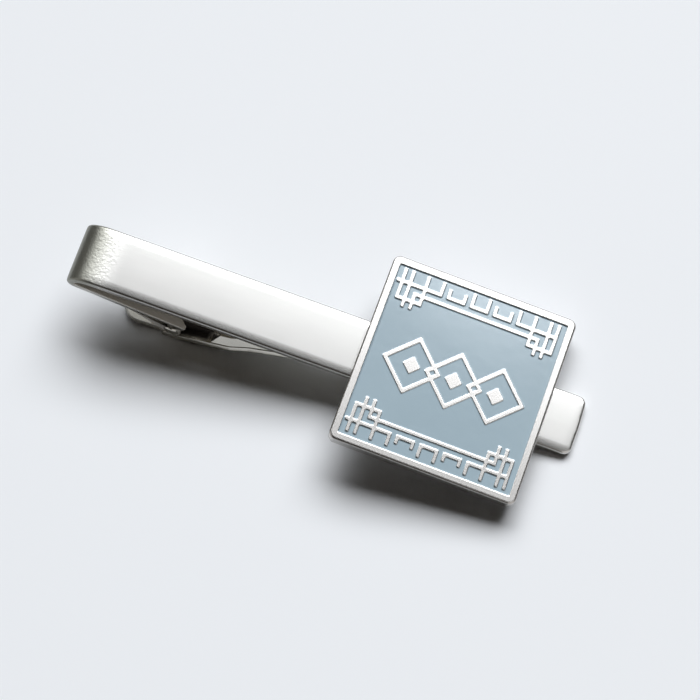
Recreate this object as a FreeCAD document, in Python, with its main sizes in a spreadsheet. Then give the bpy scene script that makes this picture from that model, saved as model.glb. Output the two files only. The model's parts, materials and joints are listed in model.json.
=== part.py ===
# Tie clip: a bent strip with a sprung jaw behind it and a square enamel badge soldered on its front.
# Lengths are millimetres and angles degrees. Each piece is drawn in the bar's own frame: X runs from the
# outside of the bend to the tip, Y across the strip, Z out of its front face, which is at zero. The last
# section lays the clip on its back, touching the ground with the lever's heel and the bar's tip.
import FreeCAD, Part
import math
import os
import Sketcher

Vector = FreeCAD.Vector
Turn = FreeCAD.Rotation
Placement = FreeCAD.Placement

DIMENSIONS = {
    # Strip: bar, bend and leg
    "bar_length": 53.0,
    "bar_width": 6.2,
    "strip_thickness": 0.9,
    "shoulder_run": 0.5,
    "shoulder_drop": 0.3,
    "tip_corner_radius": 0.8,
    "tip_crown": 0.1,
    "bend_radius": 1.55,
    "leg_slope": 10.0,
    "leg_reach": 12.6,
    "prong_width": 0.35,
    "notch_depth": 3.0,
    # Hinge
    "pivot_reach": 11.2,
    "pivot_drop": 6.1,
    "pin_radius": 0.5,
    "pin_head_radius": 0.75,
    "pin_head_height": 0.25,
    "ear_start": 6.4,
    "ear_radius": 1.0,
    "pin_seat_clearance": 0.02,
    "pin_run_clearance": 0.04,
    # Jaw lever
    "lever_sheet": 0.6,
    "heel_drop": 1.4,
    "heel_bend": 1.2,
    "tab_reach": 5.6,
    "tab_width": 5.8,
    "tab_corner_radius": 2.4,
    "tab_flare_start": 9.0,
    "tab_flare_drop": 0.4,
    "tab_flare_bend": 2.0,
    "jaw_start": 10.2,
    "jaw_width": 6.54,
    "jaw_start_radius": 0.3,
    "jaw_shoulder_reach": 17.4,
    "jaw_shoulder_run": 2.0,
    "jaw_shoulder_radius": 1.2,
    "jaw_reach": 28.4,
    "jaw_tip_width": 4.4,
    "jaw_tip_radius": 0.7,
    "jaw_pad_length": 2.5,
    "jaw_knee_bend": 1.0,
    "jaw_gap": 0.06,
    "tooth_height": 0.35,
    "tooth_pitch": 0.6,
    "tooth_count": 4,
    "tooth_margin": 0.1,
    "lug_radius": 0.85,
    "lug_gap": 0.1,
    "lip_start": 13.0,
    "lip_end": 17.2,
    "lip_ramp": 0.6,
    "lip_depth": 0.38,
    "lip_thickness": 0.45,
    # Torsion spring
    "spring_wire": 0.4,
    "spring_radius": 0.83,
    "spring_span": 2.2,
    "spring_arm": 3.2,
    "spring_rest_gap": 0.05,
    # Badge
    "badge_width": 19.4,
    "badge_height": 20.1,
    "badge_thickness": 1.5,
    "badge_corner_radius": 0.75,
    "badge_edge_round": 0.25,
    "badge_reach": 39.6,
    "badge_shift": 0.09,
    "badge_turn": 0.9,
    "rim_width": 0.8,
    "recess_depth": 0.55,
    "enamel_depth": 0.35,
    "fret_pitch": 0.815,
    "fret_row_pitch": 0.855,
    "fret_line": 0.39,
    "fret_inset": 2.45,
    "lozenge_radius": 3.1,
    "lozenge_spacing": 4.4,
    "lozenge_line": 0.42,
    "lozenge_seed_radius": 0.95,
    "lozenge_drop": 0.3,
    "solder_thickness": 0.1,
    "solder_width": 4.0,
    "solder_length": 17.0,
    # Cuts run this far past what they cut
    "overrun": 1.0,
}
# Whole turns of the spring, before the half turn that brings its second arm to the same side
SPRING_WHOLE_TURNS = 2
SPRING_STEPS_PER_TURN = 4
# Shares of a size that keep a rounding inside the run that carries it
ROUND_SHARE = 0.9
EAR_TOE_SHARE = 0.35
# The fret on its grid: columns count from the left line to the middle, rows from the band's main line
# inwards (negative rows reach out to the rim). Each upright is (column, first row, last row).
FRET_COLUMNS = 20
FRET_UPRIGHT_SHARES = (
    (0, -1.48, 2), (1, -1.48, 3), (2, 1, 3), (3, -1.48, 2), (5, -1.48, 0),
    (6, -0.9, 0), (8, -0.9, 0), (9, -1.48, 0),
)
# Each level is (row, first column, last column), mirrored to the right half
FRET_LEVEL_SHARES = ((0, 0, 5), (2, 0, 3), (0, 6, 8))
# Levels that cross the middle of the badge
FRET_MIDDLE_SHARES = ((1, 2, 18), (0, 9, 11))
# The main line's short stub past the left upright, on the left side only
FRET_STUB_SHARE = 0.5


def make_sheet(doc):
    sheet = doc.addObject("Spreadsheet::Sheet", "Sizes")
    for row, (alias, value) in enumerate(DIMENSIONS.items(), start=1):
        sheet.set(f"A{row}", alias)
        sheet.set(f"B{row}", str(value))
        sheet.setAlias(f"B{row}", alias)
    doc.recompute()
    return sheet


doc = FreeCAD.newDocument("tie_clip")
sizes = make_sheet(doc)


def number(expression):
    """The value that an expression has now, for a first guess at a sketch's points."""
    return float(sizes.evalExpression(expression))


def size(alias):
    return float(sizes.get(alias))


def bind(feature, **expressions):
    for prop, expression in expressions.items():
        feature.setExpression(prop.replace("__", "."), expression)


# Sketches and features

def origin_feature(body, role):
    return next(item for item in body.Origin.OriginFeatures if item.Role == role)


def new_body(label):
    body = doc.addObject("PartDesign::Body", label)
    body.Label = label
    return body


def new_sketch(body, name, role, lift="0", along="0"):
    """A sketch on one of the body's own planes, lifted along its normal and slid along its first axis."""
    sketch = body.newObject("Sketcher::SketchObject", name)
    sketch.AttachmentSupport = (origin_feature(body, role), [""])
    sketch.MapMode = "FlatFace"
    bind(sketch, AttachmentOffset__Base__x=along, AttachmentOffset__Base__z=lift)
    return sketch


def hold_point(sketch, geometry, position, x, y):
    """Ties a point of the sketch to its two expressions, measured from the sketch's origin."""
    for kind, axis, expression in (("DistanceX", -2, x), ("DistanceY", -1, y)):
        if expression == "0":
            sketch.addConstraint(Sketcher.Constraint("PointOnObject", geometry, position, axis))
            continue
        value = number(expression)
        index = sketch.addConstraint(Sketcher.Constraint(kind, -1, 1, geometry, position, value))
        sketch.setExpression(f"Constraints[{index}]", expression)


def draw_run(sketch, corners, closed=True):
    """Straight runs through corners of (x, y) or (x, y, radius) expressions, rounded by tangent arcs."""
    points = [Vector(number(corner[0]), number(corner[1]), 0) for corner in corners]
    radii = [number(corner[2]) if len(corner) > 2 else 0 for corner in corners]
    count = len(points)
    last_run = count if closed else count - 1

    def trim(index):
        if not radii[index]:
            return 0
        into = (points[index] - points[index - 1]).normalize()
        out = (points[(index + 1) % count] - points[index]).normalize()
        return radii[index] * math.tan(into.getAngle(out) / 2)

    runs = []
    for index in range(last_run):
        start = points[index]
        end = points[(index + 1) % count]
        along = (end - start).normalize()
        line = Part.LineSegment(start + along * trim(index), end - along * trim((index + 1) % count))
        runs.append(sketch.addGeometry(line, False))
    for index, corner in enumerate(corners):
        before = runs[index - 1] if closed or index else None
        after = runs[index] if index < last_run else None
        if not radii[index]:
            if before is not None and after is not None:
                sketch.addConstraint(Sketcher.Constraint("Coincident", before, 2, after, 1))
            if after is not None:
                hold_point(sketch, after, 1, *corner[:2])
            else:
                hold_point(sketch, before, 2, *corner[:2])
            continue
        round_corner(sketch, points[index], radii[index], before, after, corner)


def round_corner(sketch, point, radius, before, after, corner):
    """A tangent arc between two runs whose lines meet at the corner's point."""
    line_in = sketch.Geometry[before]
    line_out = sketch.Geometry[after]
    into = (line_in.EndPoint - line_in.StartPoint).normalize()
    out = (line_out.EndPoint - line_out.StartPoint).normalize()
    left_turn = into.cross(out).z > 0
    side = Vector(-into.y, into.x, 0) if left_turn else Vector(into.y, -into.x, 0)
    centre = line_in.EndPoint + side * radius
    ends = (line_in.EndPoint, line_out.StartPoint) if left_turn else (line_out.StartPoint, line_in.EndPoint)
    angles = [math.atan2(end.y - centre.y, end.x - centre.x) for end in ends]
    circle = Part.Circle(centre, Vector(0, 0, 1), radius)
    arc = sketch.addGeometry(Part.ArcOfCircle(circle, *angles), False)
    mark = sketch.addGeometry(Part.Point(point), True)
    hold_point(sketch, mark, 1, *corner[:2])
    sketch.addConstraint(Sketcher.Constraint("PointOnObject", mark, 1, before))
    sketch.addConstraint(Sketcher.Constraint("PointOnObject", mark, 1, after))
    arc_start, arc_end = (1, 2) if left_turn else (2, 1)
    sketch.addConstraint(Sketcher.Constraint("Tangent", before, 2, arc, arc_start))
    sketch.addConstraint(Sketcher.Constraint("Tangent", arc, arc_end, after, 1))
    index = sketch.addConstraint(Sketcher.Constraint("Radius", arc, radius))
    sketch.setExpression(f"Constraints[{index}]", corner[2])


def draw_circle(sketch, x, y, radius):
    circle = Part.Circle(Vector(number(x), number(y), 0), Vector(0, 0, 1), number(radius))
    geometry = sketch.addGeometry(circle, False)
    hold_point(sketch, geometry, 3, x, y)
    index = sketch.addConstraint(Sketcher.Constraint("Radius", geometry, number(radius)))
    sketch.setExpression(f"Constraints[{index}]", radius)


def add_pad(body, name, sketch, length, symmetric=False):
    pad = body.newObject("PartDesign::Pad", name)
    pad.Profile = sketch
    pad.SideType = "Symmetric" if symmetric else "One side"
    bind(pad, Length=length)
    doc.recompute()
    return pad


def add_pocket(body, name, sketch, length=None, symmetric=False):
    """A cut against the sketch's normal, through everything unless it has a length. It has to cut."""
    volume_before = body.Shape.Volume
    pocket = body.newObject("PartDesign::Pocket", name)
    pocket.Profile = sketch
    pocket.SideType = "Symmetric" if symmetric else "One side"
    if length is None:
        pocket.Type = "ThroughAll"
    else:
        bind(pocket, Length=length)
    doc.recompute()
    if not body.Shape.Volume < volume_before:
        raise RuntimeError(f"{name} cuts nothing")
    return pocket


def add_mirror(body, name, *features):
    mirror = body.newObject("PartDesign::Mirrored", name)
    mirror.Originals = list(features)
    mirror.MirrorPlane = (origin_feature(body, "XZ_Plane"), [""])
    body.Tip = mirror
    doc.recompute()
    return mirror


def add_pipe(body, name, section, path):
    pipe = body.newObject("PartDesign::AdditivePipe", name)
    pipe.Profile = section
    doc.recompute()
    pipe.Spine = (path, [f"Edge{index + 1}" for index in range(len(path.Shape.Edges))])
    doc.recompute()
    return pipe


# Places that several pieces share, as expressions

def leg_middle(x):
    """Height of the leg's middle layer at x."""
    middle_radius = "(Sizes.bend_radius - Sizes.strip_thickness / 2)"
    slope = f"({x} - Sizes.bend_radius) * tan(Sizes.leg_slope)"
    return f"(-Sizes.bend_radius - {slope} - {middle_radius} / cos(Sizes.leg_slope))"


HALF_BAR = "(Sizes.bar_width / 2)"
STRIP_START = "(Sizes.bar_length + Sizes.overrun)"
PIVOT_X = "Sizes.pivot_reach"
PIVOT_Z = "(-Sizes.pivot_drop)"
EAR_INSIDE = f"({HALF_BAR} - Sizes.strip_thickness)"
LUG_OUTSIDE = f"({EAR_INSIDE} - Sizes.lug_gap)"
LUG_INSIDE = f"({LUG_OUTSIDE} - Sizes.lever_sheet)"
FLOOR_MIDDLE = f"({PIVOT_Z} - Sizes.heel_drop - Sizes.lever_sheet / 2)"
PAD_MIDDLE = "(-Sizes.strip_thickness - Sizes.jaw_gap - Sizes.tooth_height - Sizes.lever_sheet / 2)"
PAD_START = "(Sizes.jaw_reach - Sizes.jaw_pad_length)"
JAW_RISE = f"(({PAD_MIDDLE} - {FLOOR_MIDDLE}) / ({PAD_START} - {PIVOT_X}))"


def jaw_middle(x):
    """Height of the rising jaw's middle layer at x."""
    return f"({FLOOR_MIDDLE} + ({x} - {PIVOT_X}) * {JAW_RISE})"


# Clip band: one strip with soft shoulders on its outer face, bent into a hairpin

def draw_strip_path(sketch):
    """Bar, bend and leg along the strip's middle layer, starting past the tip."""
    half = number("Sizes.strip_thickness / 2")
    bend = size("bend_radius")
    slope = math.radians(size("leg_slope"))
    radius = bend - half
    centre = Vector(bend, -bend, 0)
    top = Vector(bend, -half, 0)
    bottom = centre - Vector(math.sin(slope), math.cos(slope), 0) * radius
    end = Vector(size("leg_reach"), number(leg_middle("Sizes.leg_reach")), 0)
    start = Vector(number(STRIP_START), -half, 0)
    bar = sketch.addGeometry(Part.LineSegment(start, top), False)
    circle = Part.Circle(centre, Vector(0, 0, 1), radius)
    arc = sketch.addGeometry(Part.ArcOfCircle(circle, math.pi / 2, 3 * math.pi / 2 - slope), False)
    leg = sketch.addGeometry(Part.LineSegment(bottom, end), False)
    sketch.addConstraint(Sketcher.Constraint("Horizontal", bar))
    sketch.addConstraint(Sketcher.Constraint("Tangent", bar, 2, arc, 1))
    sketch.addConstraint(Sketcher.Constraint("Tangent", arc, 2, leg, 1))
    hold_point(sketch, bar, 1, STRIP_START, "-Sizes.strip_thickness / 2")
    hold_point(sketch, arc, 3, "Sizes.bend_radius", "-Sizes.bend_radius")
    hold_point(sketch, leg, 2, "Sizes.leg_reach", leg_middle("Sizes.leg_reach"))


def make_clip_band():
    body = new_body("clip_band")
    path = new_sketch(body, "strip_path", "XZ_Plane")
    draw_strip_path(path)

    section = new_sketch(body, "strip_section", "YZ_Plane", STRIP_START)
    shoulder_edge = f"({HALF_BAR} - Sizes.shoulder_run)"
    shoulder_length = "sqrt(Sizes.shoulder_run ^ 2 + Sizes.shoulder_drop ^ 2)"
    shoulder_tilt = "atan(Sizes.shoulder_drop / Sizes.shoulder_run)"
    shoulder_round = f"{ROUND_SHARE} * {shoulder_length} / tan({shoulder_tilt} / 2)"
    draw_run(section, [
        (f"-{HALF_BAR}", "-Sizes.strip_thickness"),
        (HALF_BAR, "-Sizes.strip_thickness"),
        (HALF_BAR, "-Sizes.shoulder_drop"),
        (shoulder_edge, "0", shoulder_round),
        (f"-{shoulder_edge}", "0", shoulder_round),
        (f"-{HALF_BAR}", "-Sizes.shoulder_drop"),
    ])
    add_pipe(body, "strip", section, path)

    # The end stands a little forward in the middle, so that the clip rests on one point there
    tip = new_sketch(body, "tip_outline", "XY_Plane")
    tip_side = "Sizes.bar_length - Sizes.tip_crown"
    tip_back = f"{tip_side} - Sizes.tip_corner_radius - Sizes.overrun"
    tip_beyond = f"{STRIP_START} + Sizes.overrun"
    outside = f"({HALF_BAR} + Sizes.overrun)"
    draw_run(tip, [
        (tip_back, f"-{HALF_BAR}"),
        (tip_back, f"-{outside}"),
        (tip_beyond, f"-{outside}"),
        (tip_beyond, outside),
        (tip_back, outside),
        (tip_back, HALF_BAR),
        (tip_side, HALF_BAR, "Sizes.tip_corner_radius"),
        ("Sizes.bar_length", "0"),
        (tip_side, f"-{HALF_BAR}", "Sizes.tip_corner_radius"),
    ])
    add_pocket(body, "tip_cut", tip)

    notch = new_sketch(body, "leg_notch", "XY_Plane", "-Sizes.bend_radius")
    mouth = f"({HALF_BAR} - Sizes.prong_width)"
    draw_run(notch, [
        ("Sizes.leg_reach - Sizes.notch_depth", "0"),
        ("Sizes.leg_reach", f"-{mouth}"),
        ("Sizes.leg_reach + Sizes.overrun", f"-{mouth}"),
        ("Sizes.leg_reach + Sizes.overrun", mouth),
        ("Sizes.leg_reach", mouth),
    ])
    add_pocket(body, "leg_notch_cut", notch)

    ear = new_sketch(body, "ear_outline", "XZ_Plane", EAR_INSIDE)
    ear_back = f"({PIVOT_X} + Sizes.ear_radius)"
    ear_low = f"({PIVOT_Z} - Sizes.ear_radius)"
    draw_run(ear, [
        ("Sizes.ear_start", leg_middle("Sizes.ear_start")),
        (f"{PIVOT_X} - {EAR_TOE_SHARE} * Sizes.ear_radius", ear_low, "Sizes.ear_radius"),
        (ear_back, ear_low, f"{ROUND_SHARE} * Sizes.ear_radius"),
        (ear_back, leg_middle(ear_back)),
    ])
    add_mirror(body, "both_ears", add_pad(body, "ear", ear, "Sizes.strip_thickness"))

    hole = new_sketch(body, "pin_hole", "XZ_Plane")
    draw_circle(hole, PIVOT_X, PIVOT_Z, "Sizes.pin_radius + Sizes.pin_seat_clearance")
    add_pocket(body, "pin_hole_cut", hole, "Sizes.bar_width + Sizes.overrun", symmetric=True)
    return body


# Jaw lever: one sheet with a flared thumb tab, a bent heel and a jaw that rises to the bar

def lever_outline():
    """The lever seen from the front: round tab, wide jaw root, shoulder and narrower toothed tip."""
    near_side = [
        ("Sizes.tab_reach", "Sizes.tab_width", "Sizes.tab_corner_radius"),
        ("Sizes.jaw_start", "Sizes.tab_width"),
        ("Sizes.jaw_start", "Sizes.jaw_width", "Sizes.jaw_start_radius * " + str(ROUND_SHARE)),
        ("Sizes.jaw_shoulder_reach", "Sizes.jaw_width", "Sizes.jaw_shoulder_radius"),
        ("Sizes.jaw_shoulder_reach + Sizes.jaw_shoulder_run", "Sizes.tab_width", "Sizes.jaw_shoulder_radius"),
        ("Sizes.jaw_reach", "Sizes.jaw_tip_width", "Sizes.jaw_tip_radius"),
    ]
    near = [(x, f"-{width} / 2", *radius) for x, width, *radius in near_side]
    far = [(x, f"{width} / 2", *radius) for x, width, *radius in reversed(near_side)]
    return near + far


def make_jaw_lever():
    body = new_body("jaw_lever")
    path = new_sketch(body, "lever_path", "XZ_Plane")
    draw_run(path, [
        ("Sizes.jaw_reach", PAD_MIDDLE),
        (PAD_START, PAD_MIDDLE, "Sizes.jaw_knee_bend"),
        (PIVOT_X, FLOOR_MIDDLE, "Sizes.heel_bend"),
        ("Sizes.tab_flare_start", FLOOR_MIDDLE, "Sizes.tab_flare_bend"),
        ("Sizes.tab_reach", f"{FLOOR_MIDDLE} - Sizes.tab_flare_drop"),
    ], closed=False)
    section = new_sketch(body, "lever_section", "YZ_Plane", "Sizes.jaw_reach")
    half_width = "(Sizes.jaw_width / 2)"
    sheet_low = f"{PAD_MIDDLE} - Sizes.lever_sheet / 2"
    sheet_high = f"{PAD_MIDDLE} + Sizes.lever_sheet / 2"
    draw_run(section, [
        (f"-{half_width}", sheet_low),
        (half_width, sheet_low),
        (half_width, sheet_high),
        (f"-{half_width}", sheet_high),
    ])
    add_pipe(body, "bent_sheet", section, path)

    blank = new_sketch(body, "lever_outline", "XY_Plane")
    draw_run(blank, lever_outline())
    draw_run(blank, [
        ("Sizes.tab_reach - Sizes.overrun", f"-{half_width} - Sizes.overrun"),
        ("Sizes.jaw_reach + Sizes.overrun", f"-{half_width} - Sizes.overrun"),
        ("Sizes.jaw_reach + Sizes.overrun", f"{half_width} + Sizes.overrun"),
        ("Sizes.tab_reach - Sizes.overrun", f"{half_width} + Sizes.overrun"),
    ])
    add_pocket(body, "lever_outline_cut", blank)

    window = new_sketch(body, "lug_window", "XY_Plane")
    window_left = f"{PIVOT_X} - Sizes.lug_radius"
    window_right = f"{PIVOT_X} + Sizes.lug_radius"
    draw_run(window, [
        (window_left, f"-{LUG_INSIDE}"),
        (window_right, f"-{LUG_INSIDE}"),
        (window_right, LUG_INSIDE),
        (window_left, LUG_INSIDE),
    ])
    add_pocket(body, "lug_window_cut", window)

    lug = new_sketch(body, "lug_outline", "XZ_Plane", LUG_INSIDE)
    lug_top = f"{PIVOT_Z} + Sizes.lug_radius"
    draw_run(lug, [
        (window_left, FLOOR_MIDDLE),
        (window_right, jaw_middle(f"({window_right})")),
        (window_right, lug_top, f"{ROUND_SHARE} * Sizes.lug_radius"),
        (window_left, lug_top, f"{ROUND_SHARE} * Sizes.lug_radius"),
    ])
    add_mirror(body, "both_lugs", add_pad(body, "lug", lug, "Sizes.lever_sheet"))
    hole = new_sketch(body, "pin_bore", "XZ_Plane")
    draw_circle(hole, PIVOT_X, PIVOT_Z, "Sizes.pin_radius + Sizes.pin_run_clearance")
    add_pocket(body, "pin_bore_cut", hole, "Sizes.bar_width", symmetric=True)

    lip = new_sketch(body, "lip_outline", "XZ_Plane", f"{half_width} - Sizes.lip_thickness")
    sheet_below = "Sizes.lever_sheet / 2"
    ramp_start = "(Sizes.lip_start + Sizes.lip_ramp)"
    ramp_end = "(Sizes.lip_end - Sizes.lip_ramp)"
    draw_run(lip, [
        ("Sizes.lip_start", jaw_middle("Sizes.lip_start")),
        (ramp_start, f"{jaw_middle(ramp_start)} - {sheet_below} - Sizes.lip_depth"),
        (ramp_end, f"{jaw_middle(ramp_end)} - {sheet_below} - Sizes.lip_depth"),
        ("Sizes.lip_end", jaw_middle("Sizes.lip_end")),
    ])
    add_mirror(body, "both_lips", add_pad(body, "lip", lip, "Sizes.lip_thickness"))

    tooth = new_sketch(body, "tooth_outline", "XZ_Plane")
    tooth_right = "(Sizes.jaw_reach - Sizes.tooth_margin)"
    tooth_left = f"({tooth_right} - Sizes.tooth_pitch)"
    draw_run(tooth, [
        (tooth_left, PAD_MIDDLE),
        (tooth_right, PAD_MIDDLE),
        (tooth_right, sheet_high),
        (f"({tooth_left} + {tooth_right}) / 2", f"{sheet_high} + Sizes.tooth_height"),
        (tooth_left, sheet_high),
    ])
    tooth_width = "Sizes.jaw_tip_width - 2 * Sizes.jaw_tip_radius"
    ridge = add_pad(body, "tooth", tooth, tooth_width, symmetric=True)
    row = body.newObject("PartDesign::LinearPattern", "teeth")
    row.Originals = [ridge]
    row.Direction = (origin_feature(body, "X_Axis"), [""])
    row.Reversed = True
    bind(row, Length="Sizes.tooth_pitch * (Sizes.tooth_count - 1)", Occurrences="Sizes.tooth_count")
    body.Tip = row
    doc.recompute()
    return body


# Hinge pin with a peened head at each end, and the spring wound round it

def make_pivot_pin():
    body = new_body("pivot_pin")
    half = new_sketch(body, "pin_half", "XY_Plane", PIVOT_Z, PIVOT_X)
    head_end = f"({HALF_BAR} + Sizes.pin_head_height)"
    head_round = f"{ROUND_SHARE} * Sizes.pin_head_height"
    draw_run(half, [
        ("0", f"-{head_end}"),
        ("Sizes.pin_head_radius", f"-{head_end}", head_round),
        ("Sizes.pin_head_radius", f"-{HALF_BAR}"),
        ("Sizes.pin_radius", f"-{HALF_BAR}"),
        ("Sizes.pin_radius", HALF_BAR),
        ("Sizes.pin_head_radius", HALF_BAR),
        ("Sizes.pin_head_radius", head_end, head_round),
        ("0", head_end),
    ])
    pin = body.newObject("PartDesign::Revolution", "pin")
    pin.Profile = half
    pin.ReferenceAxis = (half, ["V_Axis"])
    doc.recompute()
    return body


def arc_from_tangent(start, tangent, end):
    """The arc from start along the tangent to end."""
    chord = end - start
    middle = (start + end) / 2
    along = Vector(chord).normalize()
    side = (tangent - along * tangent.dot(along)).normalize()
    rise = chord.Length / 2 * math.tan(tangent.getAngle(along) / 2)
    return Part.Arc(start, middle + side * rise, end).toShape()


def biarc(start, start_tangent, end, end_tangent):
    """Two arcs that leave start and reach end along the given directions."""
    span = end - start
    total = start_tangent + end_tangent
    spread = 2 * (1 - start_tangent.dot(end_tangent))
    reach = (-span.dot(total) + math.sqrt(span.dot(total) ** 2 + spread * span.dot(span))) / spread
    joint = (start + start_tangent * reach + end - end_tangent * reach) / 2
    first = arc_from_tangent(start, start_tangent, joint)
    leave = first.tangentAt(first.LastParameter)
    return [first, arc_from_tangent(joint, leave, end)]


def spring_path():
    """Upper arm under the leg, turns round the pin, lower arm over the thumb tab."""
    pivot = Vector(size("pivot_reach"), 0, -size("pivot_drop"))
    radius = size("spring_radius")
    half_span = size("spring_span") / 2
    wire_radius = size("spring_wire") / 2
    drop_room = size("heel_drop") - radius - wire_radius - size("spring_rest_gap")
    upper_tilt = math.radians(size("leg_slope"))
    lower_tilt = math.asin(drop_room / size("spring_arm"))
    start_angle = math.pi / 2 - upper_tilt
    end_angle = -math.pi / 2 + lower_tilt - 2 * math.pi * SPRING_WHOLE_TURNS
    steps = SPRING_STEPS_PER_TURN * SPRING_WHOLE_TURNS + SPRING_STEPS_PER_TURN // 2
    pitch = 2 * half_span / (end_angle - start_angle)

    def at(angle):
        y = -half_span + pitch * (angle - start_angle)
        return pivot + Vector(radius * math.cos(angle), y, radius * math.sin(angle))

    def heading(angle, climb):
        return Vector(radius * math.sin(angle), -climb, -radius * math.cos(angle)).normalize()

    angles = [start_angle + (end_angle - start_angle) * step / steps for step in range(steps + 1)]
    points = [at(angle) for angle in angles]
    headings = [heading(angle, pitch) for angle in angles]
    # Both arms leave the turns square to the pin
    headings[0] = heading(angles[0], 0)
    headings[-1] = heading(angles[-1], 0)
    edges = [Part.LineSegment(points[0] - headings[0] * size("spring_arm"), points[0]).toShape()]
    for step in range(steps):
        edges += biarc(points[step], headings[step], points[step + 1], headings[step + 1])
    edges.append(Part.LineSegment(points[-1], points[-1] + headings[-1] * size("spring_arm")).toShape())
    return Part.Wire(edges)


def least_gap(path, wire):
    """The wire's least gap to itself, on points, skipping stretches nearer than half a turn along it."""
    points = path.discretize(Distance=wire / 4)
    skip = int(math.pi * size("spring_radius") / (wire / 4))
    pairs = ((a, b) for i, a in enumerate(points) for b in points[i + skip:])
    return min(a.distanceToPoint(b) for a, b in pairs) - wire


def make_torsion_spring():
    path = spring_path()
    wire = size("spring_wire")
    start = path.OrderedEdges[0].valueAt(path.OrderedEdges[0].FirstParameter)
    along = path.OrderedEdges[0].tangentAt(path.OrderedEdges[0].FirstParameter)
    ring = Part.Wire([Part.makeCircle(wire / 2, start, along)])
    spring = doc.addObject("Part::Feature", "torsion_spring")
    spring.Label = "torsion_spring"
    spring.Shape = path.makePipeShell([ring], True, False)
    expected = math.pi * (wire / 2) ** 2 * path.Length
    print(f"spring gap to itself {least_gap(path, wire):.3f} mm")
    print(f"spring volume {spring.Shape.Volume:.4f} mm3, section times length {expected:.4f} mm3")
    return spring


# Badge: struck plate with rim, fret border and a middle row of linked lozenges, filled with enamel

def recess_corners():
    inner_width = "(Sizes.badge_width / 2 - Sizes.rim_width)"
    inner_height = "(Sizes.badge_height / 2 - Sizes.rim_width)"
    return [
        (f"-{inner_width}", f"-{inner_height}"),
        (inner_width, f"-{inner_height}"),
        (inner_width, inner_height),
        (f"-{inner_width}", inner_height),
    ]


def make_badge_blank():
    body = new_body("badge_blank")
    outline = new_sketch(body, "badge_outline", "XY_Plane")
    half_width = "(Sizes.badge_width / 2)"
    half_height = "(Sizes.badge_height / 2)"
    corner = "Sizes.badge_corner_radius"
    draw_run(outline, [
        (f"-{half_width}", f"-{half_height}", corner),
        (half_width, f"-{half_height}", corner),
        (half_width, half_height, corner),
        (f"-{half_width}", half_height, corner),
    ])
    plate = add_pad(body, "plate", outline, "Sizes.badge_thickness")
    edge = body.newObject("PartDesign::Fillet", "edge_round")
    top = size("badge_thickness")
    names = [
        f"Edge{index}" for index, item in enumerate(plate.Shape.Edges, start=1)
        if all(abs(vertex.Z - top) < item.Tolerance for vertex in item.Vertexes)
    ]
    edge.Base = (plate, names)
    bind(edge, Radius="Sizes.badge_edge_round")
    doc.recompute()
    recess = new_sketch(body, "recess_outline", "XY_Plane", "Sizes.badge_thickness")
    draw_run(recess, recess_corners())
    add_pocket(body, "recess", recess, "Sizes.recess_depth")
    return body


RECESS_FLOOR = "(Sizes.badge_thickness - Sizes.recess_depth)"


def add_block(name, x, y, width, height):
    """A raised block of the badge, from its left low corner."""
    block = doc.addObject("Part::Box", name)
    bind(block, Length=width, Width=height, Height="Sizes.recess_depth",
         Placement__Base__x=x, Placement__Base__y=y, Placement__Base__z=RECESS_FLOOR)
    return block


def fret_x(column):
    return f"({column} - {FRET_COLUMNS} / 2) * Sizes.fret_pitch"


def fret_y(row, side):
    return f"{side} * (Sizes.badge_height / 2 - Sizes.fret_inset - {row} * Sizes.fret_row_pitch)"


def fret_blocks():
    """Raised lines of the border, in the upper band (side 1) and the lower band (side -1)."""
    blocks = []
    half_line = "Sizes.fret_line / 2"

    def level(row, first, last, side):
        width = f"({last - first}) * Sizes.fret_pitch + Sizes.fret_line"
        low = f"{fret_y(row, side)} - {half_line}"
        name = f"fret_level_{len(blocks)}"
        blocks.append(add_block(name, f"{fret_x(first)} - {half_line}", low, width, "Sizes.fret_line"))

    def upright(column, first, last, side):
        height = f"({last - first}) * Sizes.fret_row_pitch + {half_line}"
        low = fret_y(last if side > 0 else first, side)
        name = f"fret_upright_{len(blocks)}"
        blocks.append(add_block(name, f"{fret_x(column)} - {half_line}", low, "Sizes.fret_line", height))

    for side in (1, -1):
        for column, first, last in FRET_UPRIGHT_SHARES:
            upright(column, first, last, side)
            upright(FRET_COLUMNS - column, first, last, side)
        for row, first, last in FRET_LEVEL_SHARES:
            level(row, first, last, side)
            level(row, FRET_COLUMNS - last, FRET_COLUMNS - first, side)
        for row, first, last in FRET_MIDDLE_SHARES:
            level(row, first, last, side)
        level(0, -FRET_STUB_SHARE, 0, side)
    return blocks


def add_lozenge(name, x, radius):
    lozenge = doc.addObject("Part::Prism", name)
    lozenge.Polygon = 4
    bind(lozenge, Circumradius=radius, Height="Sizes.recess_depth", Placement__Base__x=x,
         Placement__Base__y="-Sizes.lozenge_drop", Placement__Base__z=RECESS_FLOOR)
    return lozenge


def lozenge_pieces():
    """Three linked lozenge frames in a row, each with a small solid lozenge at its middle."""
    pieces = []
    for place in (-1, 0, 1):
        x = f"{place} * Sizes.lozenge_spacing"
        frame = doc.addObject("Part::Cut", f"lozenge_frame_{place + 1}")
        frame.Base = add_lozenge(f"lozenge_outside_{place + 1}", x, "Sizes.lozenge_radius")
        inside = "Sizes.lozenge_radius - Sizes.lozenge_line / cos(45)"
        frame.Tool = add_lozenge(f"lozenge_inside_{place + 1}", x, inside)
        pieces += [frame, add_lozenge(f"lozenge_seed_{place + 1}", x, "Sizes.lozenge_seed_radius")]
    return pieces


def make_enamel_fill():
    body = new_body("enamel_fill")
    outline = new_sketch(body, "fill_outline", "XY_Plane", RECESS_FLOOR)
    draw_run(outline, recess_corners())
    add_pad(body, "fill", outline, "Sizes.enamel_depth")
    return body


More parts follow.
